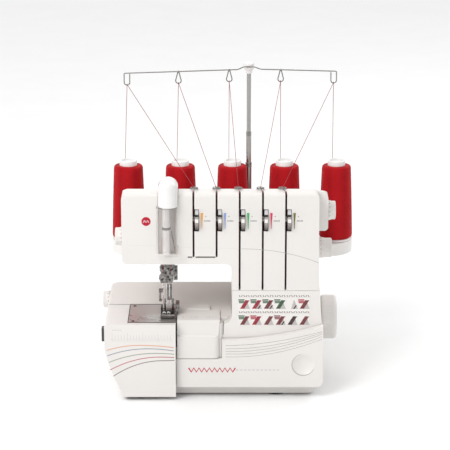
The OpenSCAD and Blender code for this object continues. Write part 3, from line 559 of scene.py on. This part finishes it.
def add_needle_plate_marks():
    """Etched marks, the polished band in front, and dark strips of painted shade for the gap round the needle
    plate
    """
    lo, hi = corners("needle_plate")
    plate = on_top(hi.z)
    etched = shaded("etched_mark", (0.12, 0.115, 0.11), 0.6, 0.4)
    marks = [bar(-134 + 3.4 * k, -141, 2.2, 1.5) for k in range(6)]
    marks += [disc(-156, -141, 1.2, 16), disc(-107, -136, 1.0, 16)]
    marks += [bar(-110, -129, 1.5, 3), bar(-110, -146, 1.5, 3)]
    plates("plate_marks", marks, plate, etched, slot="plate_steel")
    polish = shaded("plate_polish", (0.60, 0.585, 0.57), 0.3, 0.85, grain=0)
    left, right, front, back = lo.x + 1, -108, lo.y + 1, -113
    plates("plate_front_band", [[(left, front), (right, front), (right, back), (left, back)]], plate,
           polish, thick=0.05, slot="plate_steel")
    # Painted shade: dark strips along the plate's front, left and back edges stand for the shadow in the gap
    # round it
    dark = shaded("plate_gap_shade", (0.10, 0.095, 0.09), 0.5)
    x, y = (lo.x + hi.x) / 2, (lo.y + hi.y) / 2
    wide, deep = hi.x - lo.x, hi.y - lo.y
    edges = [bar(x, lo.y + 2.0, wide - 0.4, 3.6), bar(lo.x + 0.7, y, 1.0, deep - 0.6),
             bar(x, hi.y - 1.6, wide - 0.4, 2.6)]
    plates("plate_gap_shade_line", edges, plate, dark, thick=0.12, slot="plate_steel")


CHART_COLOURS = {"green": (0.04, 0.13, 0.06), "red": (0.42, 0.02, 0.05), "maroon": (0.22, 0.035, 0.045),
                 "grey": (0.52, 0.49, 0.475), "dark": (0.05, 0.022, 0.022), "line": (0.66, 0.60, 0.59)}
# How far the chart's prints stand above the board, where they aren't 0.1 mm
CHART_THICK = {"grey": 0.05, "line": 0.07}
# Each pictogram: head colour, band colour, whether a short tail stripe follows
CHART_CELLS = (("green", "red", 0), ("green", "red", 1), ("green", "maroon", 1), ("green", "green", 0),
               (None, None, 1), ("red", "maroon", 0), ("green", "maroon", 0), ("red", "red", 0),
               (None, "maroon", 0), ("maroon", "maroon", 1), (None, "dark", 0), (None, "maroon", 0))


def add_chart():
    """Board of generic seam pictograms: a fabric wedge crossed by bands of stitches"""
    lo, hi = corners("stitch_chart")
    face = on_front(lo.y)
    sets = {name: [] for name in CHART_COLOURS}
    columns, pitch = 6, 26.6
    wide = (hi.x - lo.x - 1.0) / columns
    for k, (head, stitches, tail) in enumerate(CHART_CELLS):
        u = lo.x + 0.5 + wide * (k % columns)
        v = hi.z - 23.3 - pitch * (k // columns)
        sets["grey"].append([(u + 8, v + 0.4), (u + wide - 0.4, v + 0.4), (u + wide - 6.2, v + 16)])
        sets["line"] += [bar(u + wide / 2, v + 19.4, wide, 0.4), bar(u + wide - 0.1, v + 11, 0.35, 21)]
        for j in range(5):
            sets["dark"] += [bar(u + 2 + 3.6 * j, v + 21.7, 1.5, 2.0, 0.7 if j % 2 else -0.7)]
        if head:
            sets[head] += [bar(u + 5.0, v + 15.4 - 2.35 * j, 9.6 - 0.8 * j, 1.75) for j in range(3)]
        if stitches:
            steps = [(u + 6.4 + 1.25 * j, v + 1.4 + 2.1 * j) for j in range(7)]
            sets[stitches] += [bar(a, b, 7.0, 1.35, 0.4) for a, b in steps]
            sets["dark"] += [bar(a + 0.6, b + 1.05, 6.0, 0.6, 0.2) for a, b in steps[:-1]]
        if tail:
            sets["dark"].append(bar(u + wide - 4.6, v + 3.4, 2.3, 6.0, 1.9))
    for name, shapes in sets.items():
        plates(f"chart_{name}", shapes, face, shaded(f"chart_{name}", CHART_COLOURS[name], 0.5),
               thick=CHART_THICK.get(name, 0.1), slot="chart_print")


# ---- looper cover ----

# Heights of each sweep ridge above the base at the left, the middle and the right of the cover
SWEEP_RIDGES = ((89.6, 96.0, 113.0), (84.3, 90.5, 111.0), (79.9, 86.0, 108.5), (75.7, 81.5, 104.5),
                (70.7, 77.0, 100.0))


def add_sweep_ridges():
    """Five raised lines that sweep up across the looper cover, each with a fine shadow below"""
    lo, hi = corners("looper_cover")
    left, right, bend = -6.0, hi.x - 2, 1.9
    shadow = shaded("ridge_shadow", (0.40, 0.375, 0.36), 0.6)
    paths = []
    for low, middle, high in SWEEP_RIDGES:
        path = []
        for k in range(25):
            t = k / 24
            rise = (high - low) * t ** bend + (middle - low - (high - low) * 0.5 ** bend) * sin(pi * t)
            path.append((left + (right - left) * t, lo.y + 0.1, low + rise))
        paths.append(path)
    tubes("cover_ridges", paths, 0.55, white_plastic(), "looper_cover", 8)
    add_dish_shade(lo.y)
    under = [stroke([(x, z - 0.8) for x, _, z in p], 0.6) for p in paths]
    plates("cover_ridge_shadows", under, on_front(lo.y), shadow, "looper_cover")


def add_dish_shade(front):
    """Painted shade round the thumb dish of the looper cover: a soft dark rim, widest at its middle"""
    x, z, radius = 117, 57, 17.4
    # Painted shade: a dark rim along the dish's left, lower and right edge
    lip = shaded("dish_painted_shade", (0.50, 0.47, 0.45), 0.5)
    arc = arc_points(x, z, radius, range(100, 345, 7))
    widths = [0.4 + 1.5 * sin(pi * k / (len(arc) - 1)) for k in range(len(arc))]
    outer = [(x + (u - x) * (1 + w / radius), z + (v - z) * (1 + w / radius))
             for (u, v), w in zip(arc, widths)]
    plates("dish_painted_shade", [arc + outer[::-1]], on_front(front), lip, "looper_cover")


def add_ledge():
    """Strip behind the looper cover's upper edge, where the machine's own wall closes the gap"""
    lo, hi = corners("lower_front_panel")
    left, right = -13.5, hi.x - 1.5
    across = [left + (right - left) * k / 24 for k in range(25)]
    curve = [(x, 97 + 24 * max(0, (x + 2) / 150) ** 1.8) for x in across]
    outline = [(x, z - 9) for x, z in curve] + [(x, z + 6) for x, z in curve[::-1]]
    plates("ledge_wall", [outline], on_front(lo.y + 3.4), white_plastic(), thick=3)


# ---- back, right side and handwheel ----

def add_seam_fillers():
    """Thin black sheet of painted shade behind the openings under the first two slots, and the pale wall low
    in the plate's seam
    """
    # Painted shade: a thin black sheet just behind the openings under the first two slots
    step = [((a, -143.9, 228.6), (b, -142.4, 233.2)) for a, b in ((-65.6, -57.4), (-53.6, -21.6))]
    piece("step_shade_sheet", *boxes(step, 0.3), black_plastic(), slot="black_plastic")
    filler = rounded_box((-84.2, -153, 22), (-82.6, -149, 84), 0.3)
    piece("plate_seam_wall", *filler, white_plastic())


def add_back_details():
    """Louvres over the motor, and the seam round their panel"""
    back = corners("rear_casing")[1].y
    face = on_back(back)
    shade = shaded("vent_shadow", (0.03, 0.03, 0.03), 0.7)
    width, height = 44, 2.6
    middles = [(x, 64 + 6.5 * k) for k in range(7) for x in (54, 104)]
    slots = [rounded_slot(x, z, width, height) for x, z in middles]
    plates("back_vent_slots", slots, face, shade, thick=0.06, slot="black_plastic")
    hoods = [[(x - width / 2, back + 0.3, z + 1.9), (x + width / 2, back + 0.3, z + 1.9)] for x, z in middles]
    tubes("back_vent_hoods", hoods, 0.7, white_plastic())
    left, right, low, high = 24, 134, 56, 112
    seam = [(left, low), (right, low), (right, high), (left, high), (left, low)]
    plates("back_panel_seam", [stroke(seam, 0.6)], face, groove_shadow())


def rounded_slot(u, v, width, height):
    reach, radius = width / 2 - height / 2, height / 2
    right = arc_points(u + reach, v, radius, range(-90, 91, 30))
    return right + arc_points(u - reach, v, radius, range(90, 271, 30))


def add_handwheel():
    """Turned wheel with a fluted rim, a recessed face and a hub cap"""
    lo, hi = corners("handwheel")
    radius = (hi.z - lo.z) / 2
    rim = [(0, 0.2), (3, 0.2), (radius - 2.5, 0), (radius - 1.4, 0.7), (radius - 0.8, 2), (radius, 4)]
    rim += [(radius, 4 + 13 * k / 8) for k in range(1, 9)]
    rim += arc_points(radius - 5, 20, 5, range(0, 91, 15))
    rim += [(radius - 10.6, 24.9), (radius - 11.6, 24.2), (radius - 13, 22.2)]
    rim += [(15.2, 22.0), (14.6, 22.9), (13.6, 23.4), (5, 23.9), (0, 24.0)]
    y, z = middle_of("handwheel")
    wheel = piece("handwheel_rim", *turned(rim, 144, (1, 0, 0), (lo.x, y, z), knurl(36, 0.45, 4.2, 17)),
                  beige_plastic(), "handwheel", slot="wheel_beige")
    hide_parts("handwheel")
    bend = arc_points(y, z, 19, range(50, 131, 8))
    u, v = bend[-1]
    tip = [(u + 2.4, v + 3.0), (u - 2.8, v - 1.4), (u + 3.2, v - 2.4)]
    plates("turn_arrow", [stroke(bend, 1.1), tip], on_right(lo.x + 22.1), dial_ink(), "handwheel",
           slot="wheel_beige")


# ---- thread cones ----

@cache
def wound_thread():
    """Cross-wound thread: fine helices both ways, darkened in their grooves as painted shade, with a soft
    sheen
    """
    tree = Tree("wound_thread")
    x, y, z = tree.axes()
    turn = tree.math("ARCTAN2", y, x)
    height = tree.math("MULTIPLY", z, 5200)
    strands = []
    for way in (3, -3):
        phase = tree.math("ADD", tree.math("MULTIPLY", turn, way), height)
        strands.append(tree.math("SINE", phase))
    weave = tree.math("MAXIMUM", strands[0], strands[1])
    patch = tree.noise(28, 3)
    # Painted shade: the colour darkens where the helices dip, mixed with random patches of tone
    shade = tree.ramp(tree.math("ADD", weave, tree.math("MULTIPLY", patch, 1.4)), -0.4, 2.2)
    tree.put(Base_Color=tree.mix(shade, (0.23, 0.008, 0.010), (0.56, 0.016, 0.022)), Roughness=0.5,
             Specular_IOR_Level=0.06, Specular_Tint=(1, 0.2, 0.2))
    tree.bump(weave, 0.0002, 0.4)
    return tree.material


def even_gaps(low, high, count):
    return [low + (high - low) * i / (count - 1) for i in range(count)]


def cone_places():
    """Axis of each thread cone, from the spool seats"""
    lo, hi = corners("spool_seats")
    radius = (hi.y - lo.y) / 2
    return [(x, lo.y + radius) for x in even_gaps(lo.x + radius, hi.x - radius, 5)]


def add_cones():
    """Five wound cones with low crossing ridges, on their white cores"""
    lo, hi = corners("thread_windings")
    tall = hi.z - lo.z
    wide, narrow, core = 28.0, 24.3, 20.1
    outline = [(core, 0.0), (25.0, 0.0), (27.2, 1.2), (27.9, 3.5)]
    outline += [(wide - (wide - narrow) * t + 0.25 * sin(pi * t), 6 + (tall - 11) * t)
                for t in (k / 150 for k in range(151))]
    outline += [(23.7, tall - 2.4), (22.4, tall - 0.9), (20.5, tall - 0.2), (15.2, tall + 0.1)]
    outline.append((15.2, tall - 1.5))
    for i, (x, y) in enumerate(cone_places()):
        cone = piece(f"thread_cone_{i + 1}", *turned(outline, 96, ripple=wound_ridges), wound_thread(),
                     crease=60, slot="red_thread")
        cone.location = Vector((x, y, lo.z)) * MM
        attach(cone, "machine")
    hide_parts("thread_windings")
    rise = corners("cone_cores")[1].z - lo.z
    profile = [(3.4, -0.4), (19.6, -0.4), (20.0, 0), (20.0, tall - 4), (14.8, tall - 2), (14.7, rise - 1.8),
               (14.1, rise - 0.5), (13.0, rise), (11.4, rise), (11.0, rise - 0.6),
               (10.6, rise - 3.2), (4.2, rise - 3.6), (3.4, rise - 4.2), (3.4, -0.4)]
    cores = [piece(f"cone_core_{i + 1}", *turned(profile, place=(x, y, lo.z)), cap_plastic(),
                   slot="cap_white") for i, (x, y) in enumerate(cone_places())]
    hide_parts("cone_cores")


def wound_ridges(angle, z, radius):
    """Low ridges of thread that cross both ways, on the side of the cone only"""
    if radius <= 24.2:
        return 0
    return 0.1 * max(sin(3 * angle + 1.5 * z), sin(1.5 * z - 3 * angle))


# ---- threads and wires ----

def hook_places():
    """Where each thread passes its hook, from the boxes that the record keeps open for them"""
    openings = frame["record"]["physics"]["openings"]
    boxes = [o["box_m"] for o in openings if o["name"].startswith("thread_hook")]
    return [((low[0] + high[0]) / 2 / MM, (low[1] + high[1]) / 2 / MM, low[2] / MM - 0.85)
            for low, high in boxes]


def clip_places():
    lo, hi = corners("thread_clips")
    ring = 6.4
    return [(x, (lo.y + hi.y) / 2, hi.z - 0.9) for x in even_gaps(lo.x + ring, hi.x - ring, 5)]


# Height of each slot's foot, and how far back the threads run in the slots
SLOT_FEET = (231, 231, 177, 177, 177)
SLOT_Y = -138


def slot_places():
    """x of each thread slot, and the height of its foot"""
    return [(corners(f"tension_dial_{i + 1}")[0].x - 2.4, foot) for i, foot in enumerate(SLOT_FEET)]


def add_threads():
    """Each thread rises from its cone through its hook, and comes down to its clip and its slot"""
    winding_top = corners("thread_windings")[1].z
    paths = []
    for hook, clip, slot, cone in zip(hook_places(), clip_places(), slot_places(), cone_places()):
        side = -6 if hook[0] < cone[0] else 6
        x, y, z = hook
        stops = [(cone[0] + side, cone[1] + 15, winding_top + 1), (x, y + 2, z), (x, y - 2, z),
                 (*clip[:2], clip[2] - 1.1), (slot[0], SLOT_Y, clip[2] - 2.4), (slot[0], SLOT_Y, slot[1] + 4)]
        stops = [Vector(p) for p in stops]
        path = [a.lerp(b, k / steps) for a, b, steps in zip(stops, stops[1:], (24, 2, 24, 3, 2))
                for k in range(steps)]
        paths.append(path + [stops[-1]])
    made = piece("cone_threads", *merged([tube_mesh(p, 0.42, 6) for p in paths]), thread_finish(), None, 60,
                 "red_thread")
    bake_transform(made)
    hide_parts("threads")


def bent(points, reach):
    """Path through the points with its corners rounded"""
    pts = [Vector(p) for p in points]
    path = [pts[0]]
    for a, b, c in zip(pts, pts[1:], pts[2:]):
        size = min(reach, (b - a).length / 2, (c - b).length / 2)
        start, end = b + (a - b).normalized() * size, b + (c - b).normalized() * size
        path += [(1 - t) ** 2 * start + 2 * t * (1 - t) * b + t * t * end for t in (k / 6 for k in range(7))]
    return path + [pts[-1]]


HOOK_RADIUS = 4.6


def hook_arc(x, y, z, first, sweep):
    """Arc of wire in the plane of the bar, that begins at the angle first"""
    turn = arc_points(x, z, HOOK_RADIUS, [first + sweep * k / 18 for k in range(19)])
    return [(u, y, v) for u, v in turn]


def add_guide_wire():
    """One bent wire: the bar, with a narrow U at each end, and an eye hook for each middle cone"""
    axis = cone_places()[2][1]
    low = 470
    over_cap = [(14, 113, low + 5.6), (24, 121.6, low + 8.4), (41.6, 121.6, low + 8.4), (52, 113, low + 6.2)]
    hooks = hook_places()
    left, right = hooks[0], hooks[-1]
    centre = HOOK_RADIUS + 1.1 - 2.75
    wire = [(left[0] + HOOK_RADIUS, axis, low - 1.4), *hook_arc(left[0], axis, left[2] + centre, 0, -180),
            (left[0] - HOOK_RADIUS, axis, low), *over_cap,
            (right[0] + HOOK_RADIUS, axis, low + 3.5), *hook_arc(right[0], axis, right[2] + centre, 0, -180),
            (right[0] - HOOK_RADIUS, axis, low + 1.8)]
    paths = [bent(wire, 2.2)]
    for x, y, z in hooks[1:-1]:
        top = z + 17.6
        paths.append(bent([(x - 0.9, y, top), *hook_arc(x, y, z + centre, 150, 240), (x + 0.9, y, top)], 1.2))
    made = tubes("guide_wire", paths, 0.95, wire_steel(), "pole_top", 12, slot="bright_steel")
    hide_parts("guide_bar")
    knot = [(0, -1.5), (1.7, -1.3), (2.1, 0), (1.7, 1.3), (0, 1.5)]
    knots = [turned(knot, 20, (1, 0, 0), (x, y, z + 17.8)) for x, y, z in hooks[1:-1]]
    piece("hook_crimps", *merged(knots), wire_steel(), "pole_top", 60, "bright_steel")


def add_clips():
    """Spring-wire loop over each slot: one and a half turns, with its legs through the cover"""
    ring, turns = 5.5, 1.5
    foot = [(0, -4.4), (2.6, -4.2), (2.6, -3.2), (1.9, -2.4), (0, -2.4)]
    paths, feet = [], []
    for x, y, z in clip_places():
        coil = [(x - ring * cos(2 * pi * t), y - ring * sin(2 * pi * t), z - 1.1 + 1.6 * t / turns)
                for t in (turns * k / 54 for k in range(55))]
        legs = [(x - ring, y, z - 7), (x - ring, y, z - 1.6)]
        paths.append(legs + coil + [(x + ring, y + 0.3, z - 1.6), (x + ring, y, z - 7)])
        paths.append([(x - 3.2, y - 4.4, z - 0.2), (x - 1.2, y - 2.0, z + 0.3), (x + 1.2, y - 2.0, z + 0.3),
                      (x + 3.2, y - 4.4, z - 0.2)])
        feet += [turned(foot, 24, place=(x + side, y, z)) for side in (-ring, ring)]
    made = tubes("clip_wires", [bent(p, 1.2) for p in paths], 0.65, wire_steel(), slot="bright_steel")
    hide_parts("thread_clips")
    piece("clip_feet", *merged(feet), cap_plastic(), slot="cap_white")


# ---- pole and guide head ----

def add_pole():
    """Turned collars at the tubes' joints and a socket at the pole's foot"""
    lo, hi = corners("pole_lower")
    x, y = (lo.x + hi.x) / 2, (lo.y + hi.y) / 2
    collars = (("pole_collar_low", 5.2, 0.45, hi.z, "machine"),
               ("pole_collar_high", 4.4, 0.05, corners("pole_middle")[1].z, "pole_mid"))
    for name, radius, proud, top, body in collars:
        outer, skin = radius + proud, radius + 0.02
        ring = [(skin, -7), (outer, -6.6), (outer, -5.2), (skin, -4.8), (skin, -3), (outer, -2.6),
                (outer, -0.5), (radius, 0), (radius - 0.7, 0.1), (radius - 0.7, -7), (radius, -7)]
        piece(name, *turned(ring, 48, place=(x, y, top)), wire_steel(), body, slot="bright_steel")
    socket = [(5.25, 0), (10.5, 0), (10.5, 2.2), (8.6, 6), (7.4, 9.5), (6.2, 10), (5.25, 10)]
    foot = corners("spool_stand")[1].z
    piece("pole_socket", *turned(socket, 48, place=(x, y, foot)), cap_plastic(), slot="cap_white")
    moulded("guide_head", cap_plastic(), 0.6)


# ---- dials ----

def knurl(count, depth, low, high):
    """Flutes cut into a wheel's rim between two heights"""
    def cut(angle, height, radius):
        return -depth * (0.5 + 0.5 * cos(count * angle)) if low < height < high else 0
    return cut


def add_tension_dials():
    """Thumbwheels: a ribbed rim with a black index band, a white mark and a grey scale face that darkens
    towards the bottom as painted shade
    """
    for i in range(5):
        node = f"tension_dial_{i + 1}"
        lo, hi = corners(node)
        radius, width = (hi.z - lo.z) / 2, hi.x - lo.x
        middle = (lo.x, *middle_of(node))
        rim = [(radius - 1.2, 0.0), (radius - 0.3, 0.3)]
        rim += [(radius, 0.8 + (width - 1.6) * k / 8) for k in range(9)]
        rim += [(radius - 0.3, width - 0.3), (radius - 1.2, width), (radius - 3, width),
                (radius - 3.6, width - 1), (6, width - 1), (5.4, width), (2.2, width), (2.2, 0),
                (radius - 1.2, 0)]
        wheel = piece(node + "_wheel", *turned(rim, 144, (1, 0, 0), middle, knurl(48, 0.4, 1, width - 1)),
                      dial_finish(middle), f"tension_{i + 1}", slot="dial_wheel")
        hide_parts(node)


def dial_finish(middle):
    """Wheel plastic in bands round its axle: black index, white mark, pale grey above the index, and a grey
    grip that darkens towards the bottom as painted shade
    """
    tree = Tree(f"dial_bands_painted_shade_{round(middle[0])}")
    _, y, z = tree.axes()
    high = tree.math("SUBTRACT", z, middle[2] * MM)
    front = tree.math("SUBTRACT", middle[1] * MM, y)
    turn = tree.math("ARCTAN2", high, front)
    black_end = 0.62
    black = band(tree, turn, 0.41, black_end)
    white = band(tree, turn, -0.08, 0.22)
    # Painted shade: the grip's grey darkens towards the bottom of the wheel
    grip = tree.ramp(turn, -0.95, -0.1)
    grey = tree.mix(grip, (0.06, 0.052, 0.048), (0.40, 0.36, 0.34))
    pale = tree.mix(tree.math("GREATER_THAN", turn, black_end), grey, (0.60, 0.60, 0.60))
    colour = tree.mix(white, pale, (0.90, 0.87, 0.83))
    tree.put(Base_Color=tree.mix(black, colour, (0.012, 0.012, 0.013)),
             Roughness=tree.ramp(tree.noise(80, 2), 0.3, 0.7, 0.34, 0.46))
    tree.bump(tree.noise(1600, 1), 0.00004, 0.5)
    return tree.material


def band(tree, value, low, high):
    above = tree.math("GREATER_THAN", value, low)
    return tree.math("MULTIPLY", above, tree.math("LESS_THAN", value, high))


# The stroke of each small figure on the dials, on a grid of 2 by 4
FIGURES = ([(0.4, 3.2), (1, 4), (1, 0)],
           [(0, 3.4), (1, 4), (2, 3.2), (0, 0), (2, 0)],
           [(0, 4), (2, 4), (0.9, 2.4), (2, 1.4), (1, 0), (0, 0.5)],
           [(1.5, 0), (1.5, 4), (0, 1.2), (2, 1.2)],
           [(2, 4), (0.2, 4), (0, 2.2), (1.2, 2.5), (2, 1.3), (1, 0), (0, 0.4)])
# Dial, its body, the way it points along x, and how deep it is
SIDE_DIALS = (("stitch_length_dial", "length_dial", 1, 22.3), ("differential_dial", "feed_dial", 1, 12.5),
              ("pressure_dial", "foot_dial", -1, 13), ("cutting_width_dial", "width_dial", -1, 11.5))


def add_side_dials():
    """Turned knobs with ribbed rims, an index line and small figures round the edge"""
    for node, body, way, depth in SIDE_DIALS:
        lo, hi = corners(node)
        radius = (hi.z - lo.z) / 2
        middle = Vector((hi.x - depth if way > 0 else lo.x + depth, *middle_of(node)))
        grip = depth * 0.42
        rim = [(0, 0.4), (3, 0.4), (radius - 0.6, 0.4), (radius, 1.0)]
        rim += [(radius, grip - 0.6), (radius - 0.5, grip)]
        rim += [(radius - 0.8, grip + (depth - 1.4 - grip) * k / 4) for k in range(5)]
        rim += [(radius - 1.0, depth - 1.1), (radius - 1.9, depth - 0.3), (radius - 3, depth),
                (radius - 5, depth), (radius - 5.6, depth - 0.7), (0, depth - 0.7)]
        flutes = knurl(40, 0.5, grip + 0.2, depth - 1.2)
        knob = piece(node + "_knob", *turned(rim, 120, (way, 0, 0), middle, flutes), white_plastic(), body)
        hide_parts(node)
        add_dial_figures(node, body, way, middle, radius, grip)


def add_dial_figures(node, body, way, middle, radius, grip):
    """Figures 1 to 5 wrapped on the smooth band of a knob, with the chosen one in red"""
    size, chosen = 0.62, 2
    inks, marked = [], []
    for k, figure in enumerate(FIGURES):
        wrap = around_x(middle, way, radius, radians(200 - 26 * k))
        line = [(u * size + grip / 2 - 0.7, (v - 2) * size) for u, v in figure]
        (marked if k == chosen else inks).append(plate_mesh(stroke(line, 0.42), wrap, 0.05))
        inks.append(plate_mesh(bar(grip - 0.9, 0, 0.8, 0.4), wrap, 0.05))
    red = shaded("dial_ink_red", (0.55, 0.03, 0.07), 0.5)
    piece(node + "_figures", *merged(inks), dial_ink(), body, 20)
    piece(node + "_choice", *merged(marked), red, body, 20)


def around_x(middle, way, radius, turn):
    """Surface of a knob whose axis is X: u runs along the axis, v up along the rim"""
    def place(u, v, d):
        angle = turn - v / radius
        r = radius + d
        return (middle.x + way * u, middle.y + r * cos(angle), middle.z + r * sin(angle))
    return place


# ---- head, needles and foot ----

@cache
def tooled_steel():
    """Small machined parts: dark, mottled and bright only where they are polished"""
    tree = Tree("tooled_steel")
    spots = tree.ramp(tree.noise(240, 2), 0.3, 0.7)
    tree.put(Base_Color=tree.mix(spots, (0.12, 0.115, 0.11), (0.36, 0.34, 0.325)), Metallic=0.9,
             Roughness=tree.ramp(spots, 0, 1, 0.42, 0.24))
    tree.bump(tree.noise(700, 2), 0.00008, 0.6)
    return tree.material


def smoked_plastic():
    """Clear tinted guard, darker towards its right side as painted shade, with a faint cloudy tone"""
    tree = Tree("smoked_clear")
    # Painted shade: the tint darkens from the guard's left edge to its right edge
    side = tree.ramp(tree.axes()[0], -0.112, -0.082)
    cloud = tree.noise(14, 2)
    shade = tree.math("ADD", side, tree.math("MULTIPLY", cloud, 0.25))
    tree.put(Base_Color=tree.mix(shade, (0.84, 0.79, 0.76), (0.56, 0.515, 0.49)), Roughness=0.16, Alpha=0.20,
             Coat_Weight=0.8, Coat_Roughness=0.05)
    return tree.material


def boxes(rows, radius):
    """Several rounded boxes as one: each row is (low corner, high corner)"""
    return merged([rounded_box(low, high, radius) for low, high in rows])


def add_guard():
    """Smoked guard with a dark lower lip, and a pale lining that is open for the needle bar's arm"""
    moulded("smoked_guard", smoked_plastic(), 0.5)
    top = corners("smoked_guard")[1].z
    lip = shaded("guard_lip", (0.20, 0.18, 0.17), 0.3)
    rim = [(x, y, top - 0.4) for x, y in arc_points(-97.5, -148.5, 16.0, range(184, 358, 6))]
    tubes("guard_rim", [rim], 0.45, lip, sides=8, slot="smoked")
    left, right, front, back, low, high = -110.6, -84.4, -138.6, -137.6, 232, 313
    arm_low, arm_left, arm_right = 293, -102, -94
    lining = [boxes([((left, front, low), (right, back, arm_low)),
                     ((left, front, arm_low), (arm_left, back, high)),
                     ((arm_right, front, arm_low), (right, back, high))], 0.3),
              boxes([((left, -142, low), (left + 0.8, -114.8, high)),
                     ((right - 0.8, -142, low), (right, -114.8, high))], 0.2)]
    piece("head_lining", *merged(lining), shaded("lining_grey", (0.84, 0.80, 0.77), 0.5), slot="stand_grey")


# x and z of each small screw on the clamp's face, and its radius
SET_SCREWS = ((-104.6, 208.2, 1.9), (-96, 208.2, 1.9), (-89.6, 207, 1.6), (-104.5, 191.5, 1.7),
              (-96.4, 194, 1.7), (-93.2, 200, 1.3), (-84.4, 205, 1.6), (-84.4, 193, 1.5))


def add_needle_head():
    add_take_up_column()
    faces = [((-109.6, -133.6, 203), (-87, -131, 212.5)), ((-107, -134.2, 187), (-99, -131, 200))]
    blocks = [rounded_box((-87.2, -132, 188), (-81.6, -120, 210), 1.2), boxes(faces, 0.9)]
    piece("clamp_blocks", *merged(blocks), tooled_steel(), "needle_drive", slot="bright_steel")
    heads = [screw_head((x, -134.0, z), radius) for x, z, radius in SET_SCREWS]
    piece("clamp_set_screws", *merged(heads), dark_metal(), "needle_drive", slot="screw_black")


def add_take_up_column():
    """Bright column, its black ring and a thin link that show through the guard, fixed to the arm"""
    place, radius, tall = (-98.2, -149.4, 236.5), 6.2, 75.5
    profile = [(0, 0), (radius - 0.5, 0), (radius, 0.5)]
    profile += [(radius, tall - 0.5), (radius - 0.5, tall), (0, tall)]
    bright = shaded("polished_column", (0.88, 0.865, 0.85), 0.3, 0.45, scale=2600, spread=0.06)
    piece("take_up_column", *turned(profile, 48, place=place), bright, slot="bright_steel")
    low, high, inner, outer = 40.2, 44.2, radius - 0.4, radius + 0.7
    ring = [(inner, low), (outer - 0.2, low), (outer, low + 0.2), (outer, high - 0.2),
            (outer - 0.2, high), (inner, high), (inner, low)]
    piece("take_up_ring", *turned(ring, 48, place=place), black_plastic(), slot="black_plastic")
    link = [(-90.2, -151.6, 275), (-87.2, -151.6, 258), (-84.2, -151.6, 239)]
    tubes("take_up_link", [link], 0.5, dark_metal(), slot="screw_black")


def rounded_box(low, high, radius):
    """Box with its twelve edges rounded"""
    bm = bmesh.new()
    bmesh.ops.create_cube(bm, size=1)
    low, high = Vector(low), Vector(high)
    for vert in bm.verts:
        vert.co = Vector(((low[k] + high[k]) / 2 + vert.co[k] * (high[k] - low[k]) for k in range(3)))
    bmesh.ops.bevel(bm, geom=bm.edges[:], offset=radius, segments=3, profile=0.5, affect="EDGES")
    verts = [tuple(v.co) for v in bm.verts]
    faces = [tuple(v.index for v in f.verts) for f in bm.faces]
    bm.free()
    return verts, faces


def screw_head(place, radius):
    """Socket screw that faces the front"""
    profile = [(0, 0.9), (radius, 0.9), (radius, -0.3), (radius - 0.3, -0.6), (radius * 0.55, -0.6),
               (radius * 0.5, 0.2), (0, 0.2)]
    return turned(profile, 20, (0, 1, 0), place)


def add_presser_parts():
    """Ankle spring, side guide and the foot's front springs and rollers"""
    x, y, low, tall, turns = -110.2, -112, 150, 14, 7
    coil = [(x + 1.5 * cos(t), y + 1.5 * sin(t), low + tall * t / (2 * pi * turns))
            for t in (k * pi / 6 for k in range(12 * turns + 1))]
    tubes("foot_spring", [coil], 0.42, dark_metal(), "presser", 8, slot="bright_steel")
    bracket = [rounded_box((-112, -116, 163), (-104, -106, 167), 0.8),
               rounded_box((-111.6, -115, 147.6), (-107, -108, 150.2), 0.7),
               rounded_box((-101, -113.5, 150), (-91.2, -111.6, 176), 0.5)]
    piece("ankle_bracket", *merged(bracket), tooled_steel(), "presser", slot="bright_steel")
    ring = [(1.1, -0.8), (2.7, -0.8), (3.1, -0.3), (3.1, 0.8), (1.1, 0.8), (1.1, -0.8)]
    rollers = [turned(ring, 28, (0, 1, 0), (x, -133.4, 134.2)) for x in (-103.2, -96.2)]
    piece("foot_rollers", *merged(rollers), chrome(), "foot", slot="bright_steel")
    springs = [((-107.6, -132.4, 130.4), (-90, -130.6, 138.6)), ((-108.6, -126, 130.4), (-105.8, -108, 141)),
               ((-91.6, -126, 130.4), (-88.4, -108, 139))]
    piece("foot_springs", *boxes(springs, 0.6), dark_metal(), "foot", slot="screw_black")


def add_needle_threads():
    """Two threads come down inside the guard, under its lip, to the needles"""
    paths = [[(-91.6, -146.5, 268), (-86, -147.5, 250), (-82.5, -148, 238), (-91, -137, 214),
              (-94.5, -128.6, 178), (-94.5, -128.8, 148)],
             [(-105, -146.5, 262), (-106, -147.5, 244), (-104.5, -136.5, 214), (-104, -128.8, 178),
              (-104, -128.8, 148)]]
    tubes("needle_threads", [smooth_path(p) for p in paths], 0.28, thread_finish(), "needle_drive", 6,
          slot="red_thread")


# Finish of each CAD node that shows as it is
FINISHES = {
    white_plastic: "presser_lever",
    beige_plastic: "stitch_chart",
    black_plastic: "slot_liners power_switch power_inlet cloth_plate_latch drive_belt spool_pins drive_motor",
    chrome: "needles main_shaft cover_hinge_rod lower_knife upper_looper lower_looper chain_looper",
    chrome_dark: "pole_lower pole_middle pole_upper tension_discs",
    ground_steel: "needle_bar presser_bar",
    tooled_steel: "needle_clamp presser_foot upper_knife",
    steel: "feed_dogs motor_pulley",
    alloy: "chassis_frame",
    dark_metal: "clamp_screws casing_screws",
}


def finish_cad_nodes():
    for finish, names in FINISHES.items():
        for name in names.split():
            materials = frame["nodes"][name].data.materials
            materials.clear()
            materials.append(finish())


add_camera()
add_studio()
finish_cad_nodes()
add_casings()
add_front_lines()
add_markers()
add_emblem()
add_cloth_plate_print()
add_table_print()
add_chart()
add_sweep_ridges()
add_cones()
add_threads()
add_guide_wire()
add_clips()
add_pole()
add_tension_dials()
add_side_dials()
add_guard()
add_needle_head()
add_presser_parts()
add_needle_threads()
add_ledge()
add_seam_fillers()
add_back_details()
add_handwheel()
